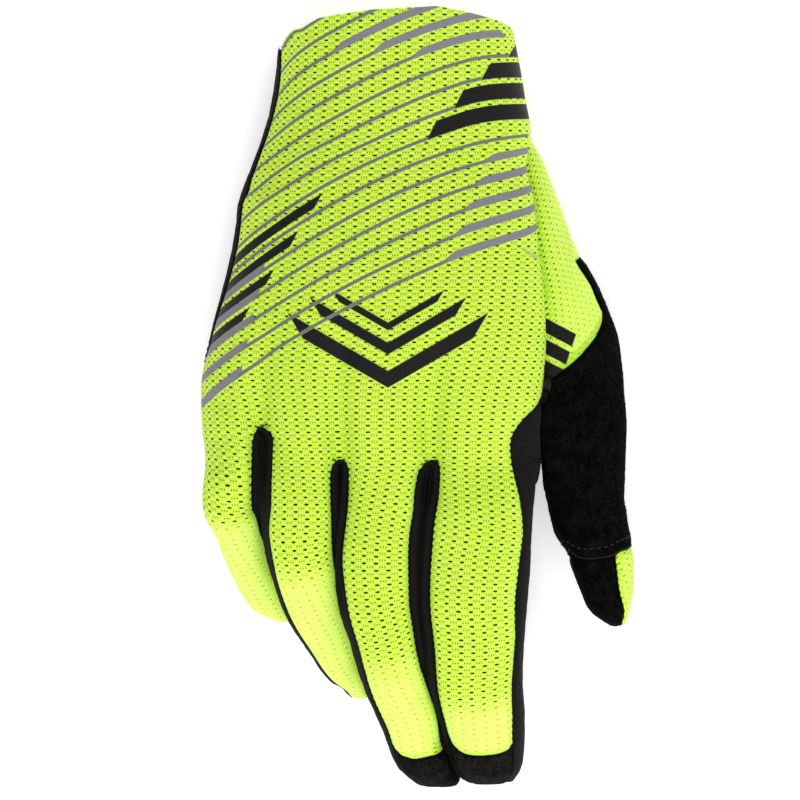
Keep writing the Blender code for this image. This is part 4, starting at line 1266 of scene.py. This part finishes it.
def prints(m):
    """The grey diagonal stripes, the black bars at the cuff, and the chevrons over the hand."""
    stripe = m.mark("stripe")
    px, py = m.plan()
    number = m.sum("ROUND", stripe)
    off = m.less(stripe, number)
    # where the stripes thicken: the upper middle, the right ends of the low ones and their left ends
    at = m.add(px, m.times(off, 26.0))
    upper = m.times(m.band(number, 2.5, 5.5), m.past(at, m.add(213.0, m.times(number, 40.0)), 3))
    lower = m.band(number, 10.5, 15.5)
    right = m.times(lower, m.past(at, m.less(594.0, m.times(number, 10.0)), 3))
    left = m.times(lower, m.before(at, m.less(322.0, m.times(number, 5.6)), 3))
    thick = m.most(upper, right, left)
    rim = m.most(m.less(off, 0.086), m.less(m.less(-0.086, off), m.times(thick, 0.21)))
    striped = m.band(number, 0.5, 15.5)
    grey = m.times(m.ramp(rim, -0.018, 0.018, 1, 0), striped)
    grey = m.times(grey, m.before(px, m.add(505.0, m.times(number, 2.3))))
    # the black bars at the cuff's thumb side
    shifted = m.less(stripe, 0.08)
    bar_number = m.sum("CEIL", shifted)
    inside = m.sum("FRACT", shifted)
    start = m.add(m.less(669.0, m.times(bar_number, 27.0)), m.times(m.less(1.0, inside), 13.0))
    bars = m.times(m.band(bar_number, 5.5, 9.5), m.band(inside, 0.24, 0.985, 0.015))
    bars = m.times(bars, m.past(px, start))
    grey = m.times(grey, m.less(1.0, bars))
    # the fifth stripe's slanted end
    end = m.times(m.band(number, 4.5, 5.5), m.past(px, m.add(505.0, m.times(off, 20.0))))
    grey = m.times(grey, m.less(1.0, end))
    # the chevrons
    side = m.sum("ABSOLUTE", m.less(px, CHEVRON_MIDDLE))
    drop = m.add(py, m.times(side, CHEVRON_SLOPE))
    chevrons = 0.0
    for low, high, reach in CHEVRONS:
        end = m.less(reach, m.times(m.less(drop, low), 0.9))
        chevrons = m.add(chevrons, m.times(m.band(drop, low, high, 0.7), m.before(side, end, 0.7)))
    # the short bars between the stripes at the little finger's side
    gap = m.sum("FRACT", stripe)
    gap_number = m.sum("FLOOR", stripe)
    tail = m.times(m.band(gap_number, 8.5, 12.5), m.band(gap, 0.27, 0.73, 0.015))
    end = m.less(m.less(544.0, m.times(gap_number, 24.0)), m.times(gap, 18.0))
    tail = m.times(tail, m.before(px, end))
    black = m.times(m.most(bars, chevrons, tail), m.less(1.0, grey))
    # the corner of the fold beside the thumb
    black = m.most(black, m.times(m.ramp(px, 543.0, 543.8), m.ramp(py, 364.0, 366.0)))
    edge = m.times(m.ramp(m.sum("ABSOLUTE", rim), 0.0, 0.03, 1, 0), striped)
    return grey, black, m.times(m.times(edge, 0.5), m.less(1.0, black)), thick


def thumb_bars(m):
    """Three plain slanted black bars on the mesh beside the thumb, and the mask of its turned lower
    border, which gets a painted shade.
    """
    px, py = m.plan()
    drop = m.less(py, m.times(m.less(px, 545.0), THUMB_BAR_SLOPE))
    short = m.ramp(m.add(px, m.times(m.less(py, 334.0), 0.34)), 575.2, 576.8, 1, 0)
    bars = 0.0
    for low, high in THUMB_BARS:
        bars = m.add(bars, m.times(m.band(drop, low, high, 0.7), short))
    corner = m.times(m.ramp(py, 364, 367), m.ramp(px, 553, 556, 1, 0))
    turned = m.times(m.ramp(m.mark("edge"), 1.9, 2.2, 1, 0), m.ramp(py, 316, 321))
    return m.most(bars, corner), m.times(turned, m.ramp(px, 552, 558))


# The pin marks on the suede of the fingertips: metres between them across and down, and where each
# begins and ends to fade
PIN_PITCH = (0.0023, 0.0019)
PIN = (0.00016, 0.00036)
# The shadow in the suede's seams, the stretch cloth in two tones, its ribs, its shadows beside the
# mesh, in a seam and deep in a slot, and metres between its ribs and between its loops
SHADE = (0.0004, 0.0006, 0.0002)
STRETCH = ((0.0040, 0.0042, 0.0035), (0.0082, 0.0084, 0.0072))
STRETCH_RIB = (0.0145, 0.0148, 0.0128)
STRETCH_EDGE = (0.0005, 0.0008, 0.0002)
STRETCH_SEAM = (0.0005, 0.0005, 0.0004)
STRETCH_DEEP = (0.0005, 0.0005, 0.0005)
RIB = 0.00062
LOOP = 0.00046
# Each suede in two tones, whether it has pin marks, and its gloss
BLACK_SUEDE = ((0.0026, 0.0026, 0.0023), (0.0125, 0.0122, 0.0112), True, 0.05)
THUMB_SUEDE = ((0.0010, 0.0011, 0.0008), (0.0060, 0.0060, 0.0050), False, 0.02)
PERFORATED_SUEDE = ((0.0008, 0.0009, 0.0007), (0.0052, 0.0052, 0.0045), False, 0.02)


def brushed_suede(name, low, high, pinned, gloss):
    """Brushed black suede: a mottled nap, darker in its seams and beside the mesh."""
    m = Maker(name)
    blotch = m.noise(0.0042, 3, 0.6)
    nap = m.noise(0.00070, 2, 0.6)
    brushed = m.noise(0.0016, 2, 0.6, m.cloth, (1.0, 0.35, 1.0))
    tone = m.add(m.times(blotch, 0.40), m.add(m.times(nap, 0.35), m.times(brushed, 0.25)))
    colour = m.mix(m.ramp(tone, 0.38, 0.66), low, high)
    groove = m.ramp(m.mark("seam"), 0.15, 0.75, 0.85, 0)
    shade = m.most(groove, m.ramp(m.mark("edge"), 0.1, 1.2, 0.9, 0))
    relief = m.add(m.times(nap, 0.55), m.times(brushed, 0.45))
    if pinned:
        u, v = m.split(m.cloth)[:2]
        wander = m.less(m.noise(0.006, 2), 0.5)
        u = m.add(u, m.times(wander, 0.0035))
        v = m.add(v, m.times(wander, 0.0025))
        row = m.sum("FLOOR", m.sum("DIVIDE", v, PIN_PITCH[1]))
        u = m.add(u, m.times(row, PIN_PITCH[0] / 2))
        u, v = cell(m, u, PIN_PITCH[0]), cell(m, v, PIN_PITCH[1], 0.5)
        pin = m.ramp(m.sum("SQRT", m.add(m.times(u, u), m.times(v, v))), *PIN, 1, 0)
        shade = m.most(shade, m.times(pin, 0.85))
        relief = m.less(relief, m.times(pin, 1.2))
    colour = m.mix(shade, colour, SHADE)
    normal = m.bump(relief, 0.00016)
    return m.done(colour, 0.95, normal, specular=gloss)


def black_stretch(name, deep):
    """Ribbed black stretch cloth, which falls into shadow deep between two fingers."""
    m = Maker(name)
    u, v = m.split(m.cloth)[:2]
    rib = m.sum("SINE", m.times(m.add(u, m.times(v, 0.25)), 2 * math.pi / RIB))
    loop = m.sum("SINE", m.times(m.less(v, m.times(u, 0.15)), 2 * math.pi / LOOP))
    tone = m.noise(0.007, 3)
    colour = m.mix(tone, *STRETCH)
    colour = m.mix(m.times(m.ramp(rib, -0.1, 0.9), 0.35), colour, STRETCH_RIB)
    near = m.mark("edge")
    colour = m.mix(m.ramp(near, 0.1, 0.9, 0.9, 0), colour, STRETCH_EDGE)
    colour = m.mix(m.ramp(m.mark("seam"), 0.1, 0.6, 0.85, 0), colour, STRETCH_SEAM)
    if deep:
        colour = m.mix(m.ramp(near, 1.3, 2.6, 0, 0.9), colour, STRETCH_DEEP)
    relief = m.add(m.times(rib, 0.5), m.times(loop, 0.22))
    normal = m.bump(relief, 0.00010)
    return m.done(colour, 0.85, normal, sheen=0.02, sheen_rough=0.4, specular=0.07)


def sewing_thread(name, colour):
    """Twisted thread: fine slanting plies over a slightly shiny colour."""
    m = Maker(name, cloth=False)
    x, y, z = m.split(m.place)
    ply = m.sum("SINE", m.times(m.add(m.add(x, y), z), 2 * math.pi / 0.00022))
    shade = tuple(value * 0.55 for value in colour)
    paint = m.mix(m.ramp(ply, -0.8, 0.8), shade, colour)
    normal = m.bump(ply, 0.00004)
    return m.done(paint, 0.6, normal, specular=0.25)


def contour(skin, normals, name, field, level, raised):
    """The line on a panel where a field has this level, as points and the edges that join them."""
    number = PANELS.index(name)
    surface = skin.points + normals * raised
    if name in skin.under:
        surface = surface - normals * skin.under[name][:, None]
    points, edges, known = [], [], {}
    for face in skin.faces[skin.panels == number].tolist():
        crossed = []
        for a, b in zip(face, face[1:] + face[:1]):
            if (field[a] < level) != (field[b] < level):
                key = (min(a, b), max(a, b))
                if key not in known:
                    t = (level - field[key[0]]) / (field[key[1]] - field[key[0]])
                    known[key] = len(points)
                    points.append(surface[key[0]] * (1 - t) + surface[key[1]] * t)
                crossed.append(known[key])
        if len(crossed) == 2:
            edges.append(crossed)
    return points, edges


class Tree:
    """A Geometry Nodes tree with named inputs, set on an object by the sockets' identifiers."""

    def __init__(self, name, sizes):
        self.tree = bpy.data.node_groups.new(name, "GeometryNodeTree")
        self.named = {}
        face = self.tree.interface
        face.new_socket("Geometry", in_out="INPUT", socket_type="NodeSocketGeometry")
        for label, kind in sizes:
            made = face.new_socket(label, in_out="INPUT", socket_type="NodeSocket" + kind)
            self.named[label] = made.identifier
        face.new_socket("Geometry", in_out="OUTPUT", socket_type="NodeSocketGeometry")
        self.given = self.tree.nodes.new("NodeGroupInput").outputs

    def node(self, kind, inputs=(), **settings):
        made = self.tree.nodes.new(kind)
        for key, value in settings.items():
            setattr(made, key, value)
        for key, value in dict(inputs).items():
            if isinstance(value, bpy.types.NodeSocket):
                self.tree.links.new(value, made.inputs[key])
            else:
                made.inputs[key].default_value = value
        return made.outputs

    def end(self, instances):
        real = self.node("GeometryNodeRealizeInstances", {"Geometry": instances})["Geometry"]
        dressed = self.node("GeometryNodeSetMaterial", {"Geometry": real,
                                                        "Material": self.given["Material"]})
        out = self.tree.nodes.new("NodeGroupOutput")
        self.tree.links.new(dressed["Geometry"], out.inputs[0])

    def make(self, name, points, faces, sizes, edges=()):
        """A plain piece: the tree run on a mesh of these points, edges and faces."""
        mesh = bpy.data.meshes.new(name)
        mesh.from_pydata([tuple(p) for p in points], list(edges), faces)
        source = bpy.data.objects.new(name + "_path", mesh)
        bpy.context.scene.collection.objects.link(source)
        nodes = source.modifiers.new("nodes", "NODES")
        nodes.node_group = self.tree
        for label, value in sizes.items():
            nodes[self.named[label]] = value
        bpy.context.view_layer.update()
        seen = source.evaluated_get(bpy.context.evaluated_depsgraph_get())
        result = bpy.data.meshes.new_from_object(seen)
        result.name = name
        source.modifiers.remove(nodes)
        bpy.data.objects.remove(source)
        piece = bpy.data.objects.new(name, result)
        bpy.context.scene.collection.objects.link(piece)
        return piece


def stitch_tree():
    """Threads of one length laid end to end along a path, sunk at their ends."""
    t = Tree("row of stitches", (("Pitch", "Float"), ("Stitch length", "Float"), ("Thread", "Float"),
                                 ("Material", "Material")))
    curve = t.node("GeometryNodeMeshToCurve", {"Mesh": t.given["Geometry"]})["Curve"]
    along = t.node("GeometryNodeCurveToPoints", {"Curve": curve, "Length": t.given["Pitch"]},
                   mode="LENGTH")
    turn = t.node("FunctionNodeAlignRotationToVector", {"Vector": along["Tangent"]}, axis="X")
    thread = t.node("GeometryNodeMeshUVSphere", {"Segments": 6, "Rings": 5, "Radius": 0.5})["Mesh"]
    thread = t.node("GeometryNodeSetShadeSmooth", {"Geometry": thread})["Geometry"]
    size = t.node("ShaderNodeCombineXYZ", {"X": t.given["Stitch length"], "Y": t.given["Thread"],
                                           "Z": t.given["Thread"]})["Vector"]
    t.end(t.node("GeometryNodeInstanceOnPoints", {"Points": along["Points"], "Instance": thread,
                                                  "Rotation": turn["Rotation"],
                                                  "Scale": size})["Instances"])
    return t


def hole_tree():
    """Round punched holes strewn over a surface no nearer to each other than their spacing."""
    t = Tree("punched holes", (("Spacing", "Float"), ("Hole", "Float"), ("Seed", "Int"),
                               ("Material", "Material")))
    found = t.node("GeometryNodeDistributePointsOnFaces",
                   {"Mesh": t.given["Geometry"], "Distance Min": t.given["Spacing"],
                    "Density Max": 400000.0, "Seed": t.given["Seed"]}, distribute_method="POISSON")
    hole = t.node("GeometryNodeMeshCylinder", {"Vertices": 8, "Radius": t.given["Hole"],
                                               "Depth": 0.00008})["Mesh"]
    t.end(t.node("GeometryNodeInstanceOnPoints", {"Points": found["Points"], "Instance": hole,
                                                  "Rotation": found["Rotation"]})["Instances"])
    return t


def shallow_arc(skin, start, end, sag, raised):
    """Points on the skin under a bowed line between two pixels of the plan."""
    tree = BVHTree.FromPolygons(skin.points.tolist(), skin.faces.tolist())
    points = []
    for t in np.linspace(0, 1, 9):
        px = start[0] + (end[0] - start[0]) * t
        py = start[1] + (end[1] - start[1]) * t + sag * 4 * t * (1 - t)
        place = Vector((*plan_place((px, py)), 0.2))
        found = tree.ray_cast(place, Vector((0, 0, -1)))
        if found[0]:
            points.append(found[0] + found[1] * raised)
    return points


# Threads sewn across a spot: the pixels at their ends and how far each bows, in pixels
SLOT_KNOTS = (((256, 426), (265, 430), 0.4), ((259, 430), (268, 424), -0.4),
              ((333, 459), (342, 463), 0.3), ((337, 463), (345, 459), -0.3),
              ((425, 460), (434, 464), 0.3), ((429, 464), (437, 460), -0.3))
BARTACK = tuple(((522 + 2.2 * i, 250 + 1.0 * i), (525 + 2.2 * i, 254.5 + 1.0 * i), 0.3)
                for i in range(7))
# No stitches show on the caps, below this y
CAPS_Y = -0.088
# The punched holes of the overlay, in metres: how far apart they are at least, their radius, and how
# far they stay from the mesh, from the hem and from other seams
HOLE_SPACING = 1.75 * MM
HOLE_RADIUS = 0.27 * MM
HOLES_CLEAR = (2.4 * MM, 5.0 * MM, 2.0 * MM)
HOLE_SEED = 11
# The colours of the threads
DARK_THREAD = (0.016, 0.016, 0.015)
GREY_THREAD = (0.040, 0.040, 0.037)
PALE_THREAD = (0.80, 0.95, 0.42)


def sew(skin, normals):
    """Every row of stitches and every thread knot, and the holes punched in the thumb's overlay."""
    rows = stitch_tree()
    dark = sewing_thread("black thread", DARK_THREAD)
    grey = sewing_thread("grey black thread", GREY_THREAD)
    pale = sewing_thread("pale thread", PALE_THREAD)
    hem = skin.distance(skin.seams(lambda a, b: "thumb_overlay" in (a, b)
                                   and ("thumb_tip" in (a, b) or "thumb_back" in (a, b))))
    side = skin.distance(skin.seams(lambda a, b: {a, b} == {"palm_panel", "back_panel"}))
    made = []

    def sewn(name, slot, points, edges, paint, pitch, length, thread):
        made.append((name, slot, rows.make(name, points, [], {
            "Pitch": pitch * MM, "Stitch length": length * MM, "Thread": thread * MM,
            "Material": paint}, edges)))

    for name, slot, panel, field, level, *sizes in (
            ("stitches_thumb_hem", "perforated_suede", "thumb_overlay", hem, 3.3, 1.9, 1.35, 0.34),
            ("edge_thumb_hem", "perforated_suede", "thumb_overlay", hem, 0.4, 0.35, 0.70, 0.26),
            ("stitches_palm_edge", "black_suede", "palm_panel", side, 1.7, 2.4, 1.7, 0.36)):
        points, edges = contour(skin, normals, panel, field, level * MM, 0.06 * MM)
        edges = [e for e in edges if points[e[0]][1] > CAPS_Y]
        sewn(name, slot, points, edges, grey, *sizes)
    for name, slot, arcs, thread, paint in (
            ("thread_slot_knots", "black_suede", SLOT_KNOTS, 0.50, dark),
            ("thread_bartack", "yellow_mesh", BARTACK, 0.24, pale)):
        points, edges = [], []
        for start, end, sag in arcs:
            arc = shallow_arc(skin, start, end, sag, 0.14 * MM)
            edges += [(len(points) + i, len(points) + i + 1) for i in range(len(arc) - 1)]
            points += arc
        sewn(name, slot, points, edges, paint, 0.35, 0.62, thread)
    number = PANELS.index("thumb_overlay")
    clear = ((skin.edge > HOLES_CLEAR[0]) & (hem > HOLES_CLEAR[1]) & (skin.seam > HOLES_CLEAR[2]))
    faces = [face for face in skin.faces[skin.panels == number].tolist() if clear[face].all()]
    used, place = np.unique(faces, return_inverse=True)
    punched = Maker("punched hole", cloth=False)
    punched = punched.done((0.0003, 0.0003, 0.0003, 1), 1.0, specular=0.0)
    holes = hole_tree().make("holes_thumb_overlay", (skin.points + normals * 0.02 * MM)[used],
                             place.reshape(-1, 4).tolist(),
                             {"Spacing": HOLE_SPACING, "Hole": HOLE_RADIUS, "Seed": HOLE_SEED,
                              "Material": punched})
    made.append(("holes_thumb_overlay", "perforated_suede", holes))
    for name, slot, piece in made:
        piece.name = name
        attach(piece, "root")


def dress():
    """The ten panels, each in its own cloth, and what is sewn on them."""
    skin = Skin()
    shape_cloth(skin)
    normals = unit(smoothed(skin.normals(), skin.links(), 2))
    cap = brushed_suede("black suede", *BLACK_SUEDE)
    thumb = brushed_suede("thumb suede", *THUMB_SUEDE)
    overlay = brushed_suede("perforated suede", *PERFORATED_SUEDE)
    wall = black_stretch("black stretch between fingers", True)
    for node, name, slot, material in (
            ("back_panel", "mesh_back", "yellow_mesh", neon_mesh("printed neon mesh", "back")),
            ("thumb_side_panel", "mesh_thumb_side", "yellow_mesh",
             neon_mesh("neon mesh beside thumb", "thumb")),
            ("thumb_back", "mesh_thumb_back", "yellow_mesh", neon_mesh("neon mesh", "")),
            ("palm_panel", "suede_palm", "black_suede", cap),
            ("thumb_overlay", "suede_thumb", "perforated_suede", overlay),
            ("thumb_tip", "suede_thumb_tip", "black_suede", thumb),
            ("fourchette_pinky_ring", "stretch_pinky_ring", "black_stretch", wall),
            ("fourchette_ring_middle", "stretch_ring_middle", "black_stretch", wall),
            ("fourchette_middle_index", "stretch_middle_index", "black_stretch", wall),
            ("index_side_gusset", "stretch_index_side", "black_stretch",
             black_stretch("black stretch gusset", False))):
        piece = panel_mesh(skin, node, normals)
        piece.name = name
        piece.data.materials.append(material)
        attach(piece, "root")
        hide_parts(node)
    sew(skin, normals)


# The studio, in metres and watts: half the floor's side, how far it lies below the glove, how white
# it is and how much it glows, the world's light, each lamp's name, place, side and power, and the
# camera's lens and film in millimetres, with the height over the floor that it draws at full scale
FLOOR_HALF = 6.0
FLOOR_DROP = 0.0002
FLOOR_WHITE = 0.96
FLOOR_GLOW = 0.38
WORLD_LIGHT = 0.55
LAMPS = (("key", (-0.1, -1.0, 0.85), 0.7, 10.6),
         ("top", (0.1, 0.1, 1.3), 1.0, 4.6),
         ("side", (1.1, 0.1, 0.55), 0.7, 3.6))
LENS = 600
FILM = 36
PICTURE = 800
SCALE_HEIGHT = 0.018


def studio():
    """A pale floor, soft lamps, and a camera straight above with a long lens."""
    mesh = bpy.data.meshes.new("floor")
    corners = [(x * FLOOR_HALF, y * FLOOR_HALF, 0) for x, y in ((-1, -1), (1, -1), (1, 1), (-1, 1))]
    mesh.from_pydata(corners, [], [(0, 1, 2, 3)])
    floor = bpy.data.objects.new("floor", mesh)
    floor.location.z = -FLOOR_DROP
    paint = bpy.data.materials.new("pale floor")
    paint.use_nodes = True
    shader = paint.node_tree.nodes["Principled BSDF"].inputs
    shader["Base Color"].default_value = (FLOOR_WHITE, FLOOR_WHITE, FLOOR_WHITE, 1)
    shader["Roughness"].default_value = 0.9
    shader["Emission Color"].default_value = (1, 1, 1, 1)
    shader["Emission Strength"].default_value = FLOOR_GLOW
    mesh.materials.append(paint)
    bpy.context.scene.collection.objects.link(floor)
    world = bpy.data.worlds.new("studio")
    bpy.context.scene.world = world
    world.use_nodes = True
    world.node_tree.nodes["Background"].inputs["Color"].default_value = (1, 1, 1, 1)
    world.node_tree.nodes["Background"].inputs["Strength"].default_value = WORLD_LIGHT
    for name, place, side, power in LAMPS:
        light = bpy.data.lights.new(name, "AREA")
        light.shape = "SQUARE"
        light.size = side
        light.energy = power
        lamp = bpy.data.objects.new(name, light)
        lamp.location = place
        lamp.rotation_euler = (-Vector(place)).to_track_quat("-Z", "Y").to_euler()
        bpy.context.scene.collection.objects.link(lamp)
    camera = bpy.data.cameras.new("camera")
    camera.lens = LENS
    camera.sensor_width = FILM
    camera.sensor_fit = "HORIZONTAL"
    camera.clip_end = 50
    eye = bpy.data.objects.new("camera", camera)
    eye.location = (*plan_place((PICTURE / 2, PICTURE / 2)),
                    PICTURE * PIXEL * LENS / FILM + SCALE_HEIGHT)
    bpy.context.scene.collection.objects.link(eye)
    bpy.context.scene.camera = eye
    bpy.context.scene.view_settings.view_transform = "Standard"


dress()
studio()
